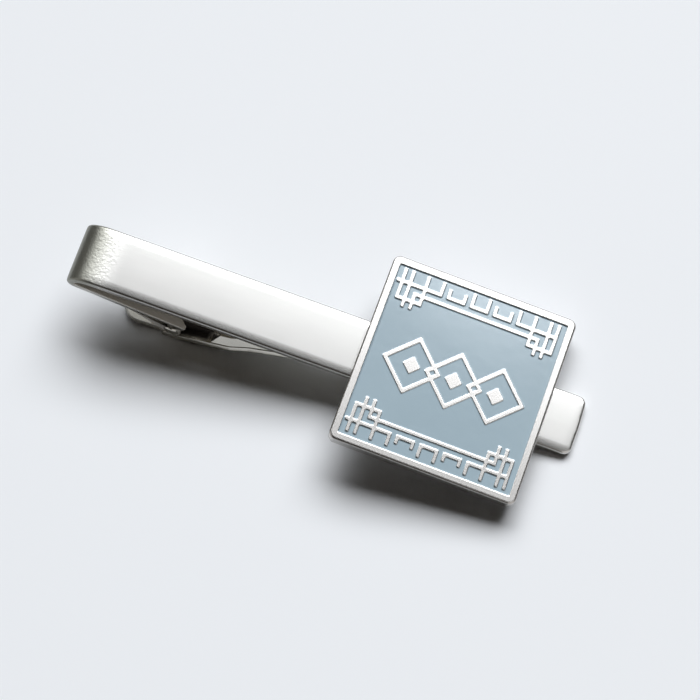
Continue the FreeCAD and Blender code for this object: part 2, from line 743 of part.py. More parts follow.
def make_badge(place):
    """The struck plate, the enamel's open field and its closed cells."""
    plate = doc.addObject("Part::MultiFuse", "badge_plate")
    plate.Label = "badge_plate"
    plate.Shapes = [make_badge_blank()] + fret_blocks() + lozenge_pieces()
    plate.Refine = True
    plate.Placement = place
    fill = make_enamel_fill()
    fill.Placement = place
    pools = doc.addObject("Part::Cut", "enamel_pools")
    pools.Base = fill
    pools.Tool = plate
    doc.recompute()
    solids = sorted(pools.Shape.Solids, key=lambda solid: solid.Volume)
    field = doc.addObject("Part::Feature", "enamel_field")
    field.Shape = solids[-1]
    cells = doc.addObject("Part::Feature", "enamel_cells")
    cells.Shape = Part.makeCompound(solids[:-1])
    return plate, field, cells


def make_solder_joint():
    body = new_body("solder_joint")
    outline = new_sketch(body, "solder_outline", "XY_Plane")
    left = "Sizes.badge_reach - Sizes.solder_length / 2"
    right = "Sizes.badge_reach + Sizes.solder_length / 2"
    draw_run(outline, [
        (left, "-Sizes.solder_width / 2"),
        (right, "-Sizes.solder_width / 2"),
        (right, "Sizes.solder_width / 2"),
        (left, "Sizes.solder_width / 2"),
    ])
    add_pad(body, "solder", outline, "Sizes.solder_thickness")
    return body


# The clip laid on its back

def stance():
    """Turns the bar's frame so that the tip's back edge and the lever's heel both touch the ground."""
    tip = Vector(size("bar_length"), 0, -size("strip_thickness"))
    rise = number(JAW_RISE)
    half_turn = math.atan(rise) / 2
    heel_radius = size("heel_bend") + size("lever_sheet") / 2
    heel = Vector(size("pivot_reach"), 0, number(FLOOR_MIDDLE) + size("heel_bend"))
    heel.x -= size("heel_bend") * math.tan(half_turn)
    to_heel = heel - tip
    lean = math.atan2(-to_heel.z, -to_heel.x) + math.asin(heel_radius / to_heel.Length)
    turn = Turn(Vector(0, 1, 0), math.degrees(lean))
    bend = size("bend_radius")
    left = turn.multVec(Vector(bend, 0, -bend)).x - bend
    right = turn.multVec(Vector(size("bar_length"), 0, 0)).x
    ground = turn.multVec(tip).z
    return Placement(Vector(-(left + right) / 2, size("badge_shift"), -ground), turn)


def check_and_write(pieces):
    failed = [item.Name for item in doc.Objects if {"Invalid", "Error"} & set(item.State)]
    if failed:
        raise RuntimeError(f"failed features: {failed}")
    for piece in pieces:
        if piece.Shape.isNull() or not piece.Shape.isValid() or not piece.Shape.Solids:
            raise RuntimeError(f"bad shape: {piece.Label}")
    os.makedirs("parts", exist_ok=True)
    for piece in pieces:
        piece.Shape.exportStep(os.path.join("parts", piece.Label + ".step"))
        print(f"{piece.Label}: {len(piece.Shape.Solids)} solids, {piece.Shape.Volume:.3f} mm3")


def main():
    band = make_clip_band()
    lever = make_jaw_lever()
    pin = make_pivot_pin()
    spring = make_torsion_spring()
    solder = make_solder_joint()
    laid = stance()
    for piece in (band, lever, pin, spring, solder):
        piece.Placement = laid
    seat = Vector(size("badge_reach"), -size("badge_shift"), size("solder_thickness"))
    plate, field, cells = make_badge(laid * Placement(seat, Turn(Vector(0, 0, 1), -size("badge_turn"))))
    check_and_write([band, lever, pin, spring, plate, field, cells, solder])
    pivot = laid.multVec(Vector(size("pivot_reach"), 0, -size("pivot_drop")))
    print(f"pivot at {pivot.x:.4f}, {pivot.y:.4f}, {pivot.z:.4f}, lean {math.degrees(laid.Rotation.Angle):.4f}")


main()
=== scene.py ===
# A tie clip lying on its back: a bent satin strip, a square enamel badge on its front, a sprung jaw behind
import json
import math

import bmesh
import bpy
from mathutils import Matrix, Quaternion, Vector


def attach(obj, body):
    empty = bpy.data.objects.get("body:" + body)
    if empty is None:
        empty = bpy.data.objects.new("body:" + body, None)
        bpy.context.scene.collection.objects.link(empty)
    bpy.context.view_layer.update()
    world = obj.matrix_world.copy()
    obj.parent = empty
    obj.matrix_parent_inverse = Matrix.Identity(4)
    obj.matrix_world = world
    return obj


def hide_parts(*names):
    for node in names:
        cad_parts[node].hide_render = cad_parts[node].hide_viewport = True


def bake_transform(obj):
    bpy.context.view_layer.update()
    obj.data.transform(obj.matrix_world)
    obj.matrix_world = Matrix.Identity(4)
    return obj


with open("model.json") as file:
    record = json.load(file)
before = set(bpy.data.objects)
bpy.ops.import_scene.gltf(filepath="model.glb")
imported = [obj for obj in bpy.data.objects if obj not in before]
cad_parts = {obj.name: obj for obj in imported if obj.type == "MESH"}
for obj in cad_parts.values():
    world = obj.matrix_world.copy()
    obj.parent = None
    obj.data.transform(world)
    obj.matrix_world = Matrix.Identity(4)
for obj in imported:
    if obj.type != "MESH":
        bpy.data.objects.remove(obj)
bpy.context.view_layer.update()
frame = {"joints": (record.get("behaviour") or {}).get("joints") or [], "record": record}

# Sizes in millimetres in the bar's frame: X from the bend along the bar, Y across it, Z out of its face

MM = 0.001
STRIP = 0.9
BAR_LENGTH = 53.0
BAR_WIDTH = 6.2
# Run of the front face's fall to an edge, and its tilt there
SIDE_CROWN = (0.97, math.radians(4))
END_CROWN = (1.2, math.radians(6))
FRONT_EDGE = 0.26
ARRIS = math.radians(25)
TIP_CORNER = 0.8
TIP_CROWN = 0.1
TIP_SWEEP = 10.0
BEND_RADIUS = 1.55
# Radii and last tilts of the arcs that ease the bend into the bar
EASE_ARCS = ((1.1, math.radians(45)), (2.3, math.radians(18)), (3.4, 0))
LEG_SLOPE = math.radians(10)
LEG_REACH = 12.6
PRONG_WIDTH = 0.35
NOTCH_DEPTH = 3.0
NOTCH_CORNER = 0.3
NOTCH_OVERRUN = 1.0
BACK_EDGE = 0.1
EVEN_MARGIN = 0.04
STRETCH_INSIDE = 1.2
STRETCH_OUTSIDE = 2.4

PIVOT = Vector((11.2, 0, -6.1))
PIN_RADIUS = 0.5
PIN_HEAD_RADIUS = 0.75
PIN_HEAD_HEIGHT = 0.25
EAR_START = 6.4
EAR_RADIUS = 1.0
EAR_TOE_SHARE = 0.35
PLATE_EDGE = 0.06
SEAT_CLEARANCE = 0.02
RUN_CLEARANCE = 0.04

SHEET = 0.6
SHEET_EDGE = 0.12
SHEAR_RUN = 0.2
SHEAR_DROP = 0.31
HEEL_DROP = 1.4
HEEL_BEND = 1.2
TAB_REACH = 5.6
TAB_WIDTH = 5.8
TAB_CORNER = 1.9
FLARE_START = 9.0
FLARE_DROP = 0.4
FLARE_BEND = 2.0
JAW_START = 10.2
JAW_START_CORNER = 0.27
JAW_WIDTH = 6.54
JAW_SHOULDER = 17.4
JAW_SHOULDER_RUN = 2.0
JAW_SHOULDER_CORNER = 1.2
JAW_REACH = 28.4
JAW_TIP_WIDTH = 4.4
JAW_TIP_CORNER = 0.7
JAW_PAD = 2.5
JAW_KNEE = 1.0
JAW_GAP = 0.06
TOOTH_HEIGHT = 0.35
TOOTH_PITCH = 0.6
TOOTH_COUNT = 4
TOOTH_MARGIN = 0.1
TOOTH_CREST = TOOTH_HEIGHT / 6
LUG_RADIUS = 0.85
LUG_GAP = 0.1
FLANGE_END = 17.0
# Where shade is painted into the lever's hollow behind the hinge
HOLLOW_SHADE_MIDDLE = 13.3
HOLLOW_SHADE_LENGTH = 4.6
HOLLOW_SHADE_FADE = 0.5
RIB_RISE = 0.95
RIB_LEAN = 0.6
RIB_SETBACK = 0.3
RIB_THICKNESS = 0.3
# Places along the jaw and the share of the rib's rise at each
RIB_PLACES = ((15.4, 0), (16.2, 1), (17.4, 1), (19.4, 1), (22.8, 1), (23.8, 0))
LIP_START = 13.0
LIP_END = 17.2
LIP_RAMP = 0.6
LIP_DEPTH = 0.38
LIP_THICKNESS = 0.45
ROUND_SHARE = 0.9
INNER_CORNER = 0.12

WIRE = 0.4
COIL_RADIUS = 0.83
COIL_SPAN = 2.2
COIL_TURNS = 2
SPRING_ARM = 3.2
SPRING_REST_GAP = 0.05
WIRE_SIDES = 16
TURN_STEPS = 32

BADGE_WIDTH = 19.4
BADGE_HEIGHT = 20.1
BADGE_THICKNESS = 1.5
BADGE_CORNER = 0.75
BADGE_EDGE = 0.25
BADGE_REACH = 39.6
BADGE_SHIFT = 0.09
BADGE_TURN = math.radians(0.9)
RIM = 0.8
RECESS_DEPTH = 0.55
RECESS_CORNER = 0.12
ENAMEL_DEPTH = 0.4
ENAMEL_CROWN = 0.1
STRUCK_EDGE = 0.05
MENISCUS_REACH = 0.09
MENISCUS_RISE = 0.03
SUNK = 0.01
FRET_PITCH = 0.815
FRET_ROW_PITCH = 0.855
FRET_INSET = 2.45
FRET_LINE = 0.39
FRET_COLUMNS = 20
# Fret lines on a grid: an upright's column and end rows, a level's row and end columns
FRET_UPRIGHT_SHARES = (
    (0, -1.48, 2), (1, -1.48, 3), (2, 1, 3), (3, -1.48, 2),
    (5, -1.48, 0), (6, -0.9, 0), (8, -0.9, 0), (9, -1.48, 0),
)
FRET_LEVEL_SHARES = ((0, 0, 5), (2, 0, 3), (0, 6, 8))
FRET_MIDDLE_SHARES = ((1, 2, 18), (0, 9, 11))
FRET_STUB_SHARE = 0.5
LINE_END_CORNER = 0.15
LINE_INNER_CORNER = 0.1
LOZENGE_RADIUS = 3.1
LOZENGE_SPACING = 4.4
LOZENGE_LINE = 0.42
LOZENGE_SEED = 0.95
LOZENGE_DROP = 0.3
SOLDER_THICKNESS = 0.1
SOLDER_WIDTH = 4.0
SOLDER_LENGTH = 17.0
SOLDER_CORNER = 1.0
SOLDER_BULGE = 0.08

ARC_STEPS = 6
PATH_SPACING = 0.5
CREASE = math.radians(35)
SOFT_CREASE = math.radians(50)
ALONG = Vector((1, 0, 0))
ACROSS = Vector((0, 1, 0))
SHARPEST = 0.004
DIAGONAL = math.sqrt(0.5)
FLAT = "flat_blank"
DEPTH = "blank_depth"
HALF_BAR = BAR_WIDTH / 2
EAR_INSIDE = HALF_BAR - STRIP
LUG_OUTSIDE = EAR_INSIDE - LUG_GAP
LUG_INSIDE = LUG_OUTSIDE - SHEET
FLOOR_MIDDLE = PIVOT.z - HEEL_DROP - SHEET / 2
PAD_MIDDLE = -STRIP - JAW_GAP - TOOTH_HEIGHT - SHEET / 2
PAD_START = JAW_REACH - JAW_PAD
JAW_RISE = (PAD_MIDDLE - FLOOR_MIDDLE) / (PAD_START - PIVOT.x)

# The bar's frame in the row frame: the badge's mount gives the lean and the hinge gives the place
hinge = frame["joints"][0]
badge_face = next(mount for mount in frame["record"]["mounts"] if mount["name"] == "badge_face")
lean = math.atan2(badge_face["axis"][0], badge_face["axis"][2])
TO_ROW = (
    Matrix.Translation(hinge["pos_m"]) @ Matrix.Rotation(lean, 4, "Y")
    @ Matrix.Scale(MM, 4) @ Matrix.Translation(-PIVOT)
)
BADGE_TO_ROW = (
    TO_ROW @ Matrix.Translation((BADGE_REACH, -BADGE_SHIFT, SOLDER_THICKNESS))
    @ Matrix.Rotation(-BADGE_TURN, 4, "Z")
)


# Nodes

def add(tree, kind, inputs=None, **settings):
    """Adds a node with its settings; an input is given a value, or a socket to be linked from."""
    made = tree.nodes.new(kind)
    for name, value in settings.items():
        setattr(made, name, value)
    for name, value in (inputs or {}).items():
        if isinstance(value, bpy.types.NodeSocket):
            tree.links.new(value, made.inputs[name])
        else:
            made.inputs[name].default_value = value
    return made


def linear(code):
    """An sRGB hex colour as linear red, green, blue and alpha."""
    parts = [int(code[place:place + 2], 16) / 255 for place in (1, 3, 5)]
    return [part / 12.92 if part <= 0.04045 else ((part + 0.055) / 1.055) ** 2.4 for part in parts] + [1]


def new_material(name):
    material = bpy.data.materials.new(name)
    material.use_nodes = True
    material.node_tree.nodes.clear()
    return material, material.node_tree


def new_tree(name, sockets):
    """A geometry tree with named inputs, and the sockets that they arrive on."""
    tree = bpy.data.node_groups.new(name, "GeometryNodeTree")
    tree.interface.new_socket("Geometry", in_out="INPUT", socket_type="NodeSocketGeometry")
    for label, kind in sockets.items():
        tree.interface.new_socket(label, in_out="INPUT", socket_type="NodeSocket" + kind)
    tree.interface.new_socket("Finish", in_out="INPUT", socket_type="NodeSocketMaterial")
    tree.interface.new_socket("Geometry", in_out="OUTPUT", socket_type="NodeSocketGeometry")
    return tree, add(tree, "NodeGroupInput").outputs


def close_tree(tree, geometry, finish):
    real = add(tree, "GeometryNodeRealizeInstances", {"Geometry": geometry})
    coated = add(tree, "GeometryNodeSetMaterial", {"Geometry": real.outputs[0], "Material": finish})
    add(tree, "NodeGroupOutput", {"Geometry": coated.outputs[0]})
    return tree


def bending_tree():
    """Lays a flat blank along a path in the XZ plane: X becomes length along it, Z height above it."""
    tree, given = new_tree("Blank bent along a path", {"Path": "Object"})
    path = add(tree, "GeometryNodeObjectInfo", {"Object": given["Path"]})
    flat = add(tree, "ShaderNodeSeparateXYZ", {0: add(tree, "GeometryNodeInputPosition").outputs[0]})
    spot = add(tree, "GeometryNodeSampleCurve", {
        "Curves": path.outputs["Geometry"], "Length": flat.outputs["X"],
    }, mode="LENGTH")
    outward = add(tree, "ShaderNodeVectorMath", {
        0: spot.outputs["Tangent"], 1: (0, 1, 0),
    }, operation="CROSS_PRODUCT")
    lift = add(tree, "ShaderNodeVectorMath", {
        0: outward.outputs[0], "Scale": flat.outputs["Z"],
    }, operation="SCALE")
    across = add(tree, "ShaderNodeCombineXYZ", {"Y": flat.outputs["Y"]})
    beside = add(tree, "ShaderNodeVectorMath", {0: spot.outputs["Position"], 1: across.outputs[0]})
    bent = add(tree, "ShaderNodeVectorMath", {0: beside.outputs[0], 1: lift.outputs[0]})
    moved = add(tree, "GeometryNodeSetPosition", {
        "Geometry": given["Geometry"], "Position": bent.outputs[0],
    })
    return close_tree(tree, moved.outputs[0], given["Finish"])


def wire_tree():
    """Draws a round wire along a path."""
    tree, given = new_tree("Wire drawn along a path", {"Wire radius": "Float", "Sides": "Int"})
    section = add(tree, "GeometryNodeCurvePrimitiveCircle", {
        "Resolution": given["Sides"], "Radius": given["Wire radius"],
    })
    wire = add(tree, "GeometryNodeCurveToMesh", {
        "Curve": given["Geometry"], "Profile Curve": section.outputs[0], "Fill Caps": True,
    })
    return close_tree(tree, wire.outputs[0], given["Finish"])


def teeth_tree():
    """Repeats one tooth along X."""
    tree, given = new_tree("Row of teeth", {"Count": "Int", "Pitch": "Float"})
    step = add(tree, "ShaderNodeCombineXYZ", {"X": given["Pitch"]})
    line = add(tree, "GeometryNodeMeshLine", {"Count": given["Count"], "Offset": step.outputs[0]})
    row = add(tree, "GeometryNodeInstanceOnPoints", {
        "Points": line.outputs[0], "Instance": given["Geometry"],
    })
    return close_tree(tree, row.outputs[0], given["Finish"])


def settled(thing):
    """The thing as its modifiers leave it, as a plain mesh in its place."""
    name = thing.name
    bpy.context.view_layer.update()
    depsgraph = bpy.context.evaluated_depsgraph_get()
    shape = thing.evaluated_get(depsgraph)
    mesh = bpy.data.meshes.new_from_object(shape, preserve_all_data_layers=True, depsgraph=depsgraph)
    bpy.data.objects.remove(thing)
    mesh.name = name
    return new_object(name, mesh)


def grown(thing, tree, finish, **inputs):
    """Runs a geometry tree on a thing and keeps the result as a plain mesh."""
    modifier = thing.modifiers.new(tree.name, "NODES")
    modifier.node_group = tree
    given = dict(inputs, Finish=finish)
    for item in tree.interface.items_tree:
        if item.in_out == "INPUT" and item.name in given:
            modifier[item.identifier] = given[item.name]
    return settled(thing)


# Shapes

def new_object(name, data):
    made = bpy.data.objects.new(name, data)
    bpy.context.scene.collection.objects.link(made)
    return made


def from_bmesh(name, shape):
    bmesh.ops.recalc_face_normals(shape, faces=shape.faces[:])
    mesh = bpy.data.meshes.new(name)
    shape.to_mesh(mesh)
    shape.free()
    return new_object(name, mesh)


def corner_arc(before, here, after, radius, inset=0.0):
    """Points round one corner of an outline with its solid on the left, moved in by the inset."""
    coming = (here - before).normalized()
    going = (after - here).normalized()
    left = Vector((-coming.y, coming.x))
    next_left = Vector((-going.y, going.x))
    corner = here + (left + next_left) * (inset / (1 + left.dot(next_left)))
    turn = math.atan2(coming.cross(going), coming.dot(going))
    side = math.copysign(1, turn)
    fillet = max(radius - side * inset, SHARPEST)
    start = corner - coming * fillet * math.tan(abs(turn) / 2)
    centre = start + left * side * fillet
    return [
        centre + Matrix.Rotation(turn * step / ARC_STEPS, 2) @ (start - centre)
        for step in range(ARC_STEPS + 1)
    ]


def rounded(corners, inset=0.0):
    """A closed outline through corners of x, y and radius."""
    places = [Vector(corner[:2]) for corner in corners]
    points = []
    for index, corner in enumerate(corners):
        after = places[(index + 1) % len(places)]
        points += corner_arc(places[index - 1], places[index], after, corner[2], inset)
    return points


def skin(shape, rings):
    """Joins rings of equally many points with faces; returns the first and the last ring."""
    rows = [[shape.verts.new(point) for point in ring] for ring in rings]
    for low, high in zip(rows, rows[1:]):
        for index in range(len(low)):
            after = (index + 1) % len(low)
            shape.faces.new((low[index], low[after], high[after], high[index]))
    return rows[0], rows[-1]


def fill(shape, rows):
    """Fills what lies between rings of points."""
    edges = []
    for row in rows:
        for index, point in enumerate(row):
            pair = (row[index - 1], point)
            edges.append(shape.edges.get(pair) or shape.edges.new(pair))
    bmesh.ops.triangle_fill(shape, edges=edges, use_beauty=True)


def on_face(x, y, height):
    return Vector((x, y, height))


def on_side(x, z, y):
    return Vector((x, y, z))


def drawn(corners, profile, place=on_face):
    """An outline at every inset and height of a profile."""
    return [[place(*point, height) for point in rounded(corners, inset)] for inset, height in profile]


def plate(outlines, profile, place=on_face):
    """A flat piece: its outlines are drawn along the profile and filled at both ends."""
    shape = bmesh.new()
    ends = [skin(shape, drawn(corners, profile, place)) for corners in outlines]
    for rows in zip(*ends):
        fill(shape, rows)
    return shape


def edge_profile(low, high, edge):
    """Insets and heights of a plate's edge that is rounded at both faces."""
    slack = edge * (1 - DIAGONAL)
    return [
        (edge, low), (slack, low + slack), (0, low + edge),
        (0, high - edge), (slack, high - slack), (edge, high),
    ]


def arris_profile(top, radius, steps):
    """Insets and heights of an upper edge whose rounding meets the wall at a soft arris."""
    angles = [ARRIS + (math.pi / 2 - ARRIS) * step / steps for step in range(steps + 1)]
    return [
        (radius * (math.cos(ARRIS) - math.cos(angle)), top - radius * (1 - math.sin(angle)))
        for angle in angles
    ]


def circle_corners(x, y, radius, sides=8):
    """Corners of a round hole, which runs clockwise."""
    reach = radius / math.cos(math.pi / sides)
    turns = [-2 * math.pi * side / sides for side in range(sides)]
    return [(x + reach * math.cos(turn), y + reach * math.sin(turn), radius) for turn in turns]


def score(shape, places, way):
    """Cuts a flat blank across at each place along one way, X or Y, so that it can bend there."""
    for place in places:
        everything = shape.verts[:] + shape.edges[:] + shape.faces[:]
        bmesh.ops.bisect_plane(shape, geom=everything, plane_co=way * place, plane_no=way)


def mark_flat(thing, along=0, across=1, start=0.0, depth=None):
    """Keeps the blank's own coordinates, in millimetres, as the UV maps that its finish follows."""
    flat = thing.data.uv_layers.new(name=FLAT)
    deep = thing.data.uv_layers.new(name=DEPTH)
    for loop in thing.data.loops:
        place = thing.data.vertices[loop.vertex_index].co
        flat.data[loop.index].uv = (place[along] - start, place[across])
        deep.data[loop.index].uv = (place.z if depth is None else depth, 0)


def new_path(name, points, spacing):
    """A curve along points, with more of them on the long runs."""
    steps = []
    for start, end in zip(points, points[1:]):
        count = max(1, round((end - start).length / spacing))
        steps += [start.lerp(end, step / count) for step in range(count)]
    steps.append(points[-1])
    curve = bpy.data.curves.new(name, "CURVE")
    curve.dimensions = "3D"
    spline = curve.splines.new("POLY")
    spline.points.add(len(steps) - 1)
    for point, step in zip(spline.points, steps):
        point.co = (*step, 1)
    return new_object(name, curve)


def combined(thing, tools, operation):
    """The thing with other solids joined to it or cut from it."""
    for tool in tools:
        modifier = thing.modifiers.new(operation.title(), "BOOLEAN")
        modifier.operation = operation
        modifier.solver = "EXACT"
        modifier.object = tool
    result = settled(thing)
    for tool in tools:
        bpy.data.objects.remove(tool)
    return result


def smoothed(piece, to_row, crease):
    """Moves a piece to the row frame and shades it smooth up to a crease."""
    piece.data.transform(to_row)
    piece.data.shade_smooth()
    piece.data.set_sharp_from_angle(angle=crease)


def painted(piece, finish):
    piece.data.materials.clear()
    piece.data.materials.append(finish)


def finished(piece, finish, body, nodes, to_row=TO_ROW, crease=CREASE):
    """Places a piece, evens its shading and hands it to its body."""
    smoothed(piece, to_row, crease)
    weights = piece.modifiers.new("Even shading", "WEIGHTED_NORMAL")
    weights.keep_sharp = True
    piece = settled(piece)
    painted(piece, finish)
    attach(piece, body)
    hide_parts(*nodes)
    return piece


# Clip band

def leg_middle(x):
    """Height of the leg's middle layer at x."""
    middle_radius = BEND_RADIUS - STRIP / 2
    return -BEND_RADIUS - (x - BEND_RADIUS) * math.tan(LEG_SLOPE) - middle_radius / math.cos(LEG_SLOPE)


def bend_arcs():
    """Centre, radius and end angles of the bend's arcs: tight at the leg, eased into the bar."""
    middle = STRIP / 2
    drop = 0
    tilt = math.pi / 2
    for radius, next_tilt in EASE_ARCS:
        drop += radius * (math.cos(next_tilt) - math.cos(tilt))
        tilt = next_tilt
    outermost = -middle - drop
    turn = math.pi / 2 - LEG_SLOPE
    below_bend = outermost - leg_middle(middle)
    lower_radius = below_bend / (math.sin(turn) - (1 - math.cos(turn)) * math.tan(LEG_SLOPE))
    arcs = [((middle + lower_radius, outermost), lower_radius, math.pi + turn, math.pi)]
    x, z, tilt = middle, outermost, math.pi / 2
    for radius, next_tilt in EASE_ARCS:
        x += radius * math.sin(tilt)
        z -= radius * math.cos(tilt)
        arcs.append(((x, z), radius, math.pi / 2 + tilt, math.pi / 2 + next_tilt))
        x -= radius * math.sin(next_tilt)
        z += radius * math.cos(next_tilt)
        tilt = next_tilt
    return arcs


def strip_path():
    """The strip's middle layer from the leg's end round the bend to the bar's tip."""
    steps = 24
    points = [Vector((LEG_REACH, 0, leg_middle(LEG_REACH)))]
    for (x, z), radius, first, last in bend_arcs():
        for step in range(steps + 1):
            turn = first + (last - first) * step / steps
            points.append(Vector((x + radius * math.cos(turn), 0, z + radius * math.sin(turn))))
    points.append(Vector((BAR_LENGTH, 0, -STRIP / 2)))
    return [
        point for index, point in enumerate(points)
        if not index or (point - points[index - 1]).length > SHARPEST
    ]


STRIP_PATH = strip_path()
LEG_LENGTH = (STRIP_PATH[1] - STRIP_PATH[0]).length
BEND_LENGTH = sum((after - before).length for before, after in zip(STRIP_PATH[1:-1], STRIP_PATH[2:-1]))
STRIP_LENGTH = LEG_LENGTH + BEND_LENGTH + (STRIP_PATH[-1] - STRIP_PATH[-2]).length


def strip_profile():
    """Insets and heights from the back face round the wall to the front face."""
    top = STRIP / 2
    profile = edge_profile(-top, top, BACK_EDGE)[:3]
    return profile + arris_profile(top, FRONT_EDGE, steps=6)


def crown_fall(distance, run, tilt):
    """Fall of the front face at a distance from its edge, rounded off over a run to a tilt."""
    radius = run / math.sin(tilt)
    inward = max(0, run - distance)
    return radius - math.sqrt(radius ** 2 - inward ** 2)


def make_band(finish):
    """Bar, bend and leg as one bent strip, with a notch in the leg's end and two ears below it."""
    shoulder = STRIP_LENGTH - TIP_CROWN
    outline = [
        (0, -HALF_BAR, PRONG_WIDTH / 2), (shoulder, -HALF_BAR, TIP_CORNER), (STRIP_LENGTH, 0, TIP_SWEEP),
        (shoulder, HALF_BAR, TIP_CORNER), (0, HALF_BAR, PRONG_WIDTH / 2),
    ]
    shape = plate([outline], strip_profile())
    folds = 60
    spare = 2
    steps = 9
    shares = [(step + 1) / steps for step in range(steps)]
    bends = range(-spare, folds + spare + 1)
    score(shape, [LEG_LENGTH + BEND_LENGTH * bend / folds for bend in bends], ALONG)
    score(shape, [STRIP_LENGTH - END_CROWN[0] * share for share in shares], ALONG)
    places = [HALF_BAR - SIDE_CROWN[0] * share for share in shares]
    score(shape, [side * place for place in places for side in (-1, 1)], ACROSS)
    for point in shape.verts:
        if point.co.z > 0:
            point.co.z -= crown_fall(HALF_BAR - abs(point.co.y), *SIDE_CROWN)
            point.co.z -= crown_fall(STRIP_LENGTH - point.co.x, *END_CROWN)
    blank = from_bmesh("clip_band_strip", shape)
    mark_flat(blank)
    mouth = HALF_BAR - PRONG_WIDTH
    apex = NOTCH_DEPTH / math.cos(LEG_SLOPE)
    spread = mouth / apex
    wide = mouth + spread * NOTCH_OVERRUN
    notch = [(-NOTCH_OVERRUN, -wide, 0), (apex, 0, NOTCH_CORNER), (-NOTCH_OVERRUN, wide, 0)]
    wedge = from_bmesh("notch_wedge", plate([notch], [(0, -STRIP), (0, STRIP)]))
    blank = combined(blank, [wedge], "DIFFERENCE")
    path = new_path("strip_path", STRIP_PATH, PATH_SPACING)
    strip = grown(blank, bending_tree(), finish, Path=path)
    bpy.data.objects.remove(path)

    toe = PIVOT.x - EAR_TOE_SHARE * EAR_RADIUS
    heel = PIVOT.x + EAR_RADIUS
    foot = PIVOT.z - EAR_RADIUS
    outline = [
        (EAR_START, leg_middle(EAR_START), 0), (toe, foot, EAR_RADIUS),
        (heel, foot, EAR_RADIUS * ROUND_SHARE), (heel, leg_middle(heel), 0),
    ]
    hole = circle_corners(PIVOT.x, PIVOT.z, PIN_RADIUS + SEAT_CLEARANCE)
    ears = []
    for low, high in ((-HALF_BAR, -EAR_INSIDE), (EAR_INSIDE, HALF_BAR)):
        ear = from_bmesh("ear", plate([outline, hole], edge_profile(low, high, PLATE_EDGE), on_side))
        mark_flat(ear, across=2, depth=-STRIP / 2)
        ears.append(ear)
    band = combined(strip, ears, "UNION")
    return finished(band, finish, "clip", ["clip_band"])


# Jaw lever

def jaw_middle(x):
    """Height of the rising jaw's middle layer at x."""
    return FLOOR_MIDDLE + (x - PIVOT.x) * JAW_RISE


def lever_path():
    """The sheet's middle layer from the thumb tab over the heel and up to the toothed pad."""
    corners = [
        (TAB_REACH, FLOOR_MIDDLE - FLARE_DROP, 0), (FLARE_START, FLOOR_MIDDLE, FLARE_BEND),
        (PIVOT.x, FLOOR_MIDDLE, HEEL_BEND), (PAD_START, PAD_MIDDLE, JAW_KNEE), (JAW_REACH, PAD_MIDDLE, 0),
    ]
    places = [Vector(corner[:2]) for corner in corners]
    points = [places[0]]
    for index in range(1, len(corners) - 1):
        points += corner_arc(*places[index - 1:index + 2], corners[index][2])
    points.append(places[-1])
    return [Vector((x, 0, z)) for x, z in points]


LEVER_PATH = lever_path()


def developed(x):
    """Length along the lever's path up to x."""
    length = 0
    for start, end in zip(LEVER_PATH, LEVER_PATH[1:]):
        if x <= end.x or end is LEVER_PATH[-1]:
            return length + (end - start).length * (x - start.x) / (end.x - start.x)
        length += (end - start).length


LEVER_WIDTHS = [
    (TAB_REACH, TAB_WIDTH, TAB_CORNER), (JAW_START, TAB_WIDTH, INNER_CORNER),
    (JAW_START, JAW_WIDTH, JAW_START_CORNER), (JAW_SHOULDER, JAW_WIDTH, JAW_SHOULDER_CORNER),
    (JAW_SHOULDER + JAW_SHOULDER_RUN, TAB_WIDTH, JAW_SHOULDER_CORNER),
    (JAW_REACH, JAW_TIP_WIDTH, JAW_TIP_CORNER),
]


def jaw_width(x):
    """Width of the jaw at x."""
    for start, end in zip(LEVER_WIDTHS[2:], LEVER_WIDTHS[3:]):
        if x <= end[0]:
            return start[1] + (end[1] - start[1]) * (x - start[0]) / (end[0] - start[0])


def make_rib(side):
    """A stiffening rib that is pressed up along one edge of the jaw and leans inwards."""
    rings = []
    for x, share in RIB_PLACES:
        foot = jaw_middle(x)
        outside = jaw_width(x) / 2 - RIB_SETBACK
        crest = outside - RIB_LEAN * share
        top = foot + SHEET / 2 + RIB_RISE * share - SUNK
        inside = outside - RIB_LEAN - RIB_THICKNESS
        section = [
            (outside, foot), (outside, foot + SHEET / 2 - SUNK), (crest - SUNK, top),
            (inside, top), (inside, foot),
        ]
        rings.append([Vector((x, side * y, z)) for y, z in section])
    shape = bmesh.new()
    for end in skin(shape, rings):
        fill(shape, [end])
    rib = from_bmesh("rib", shape)
    mark_flat(rib, start=TAB_REACH)
    return rib


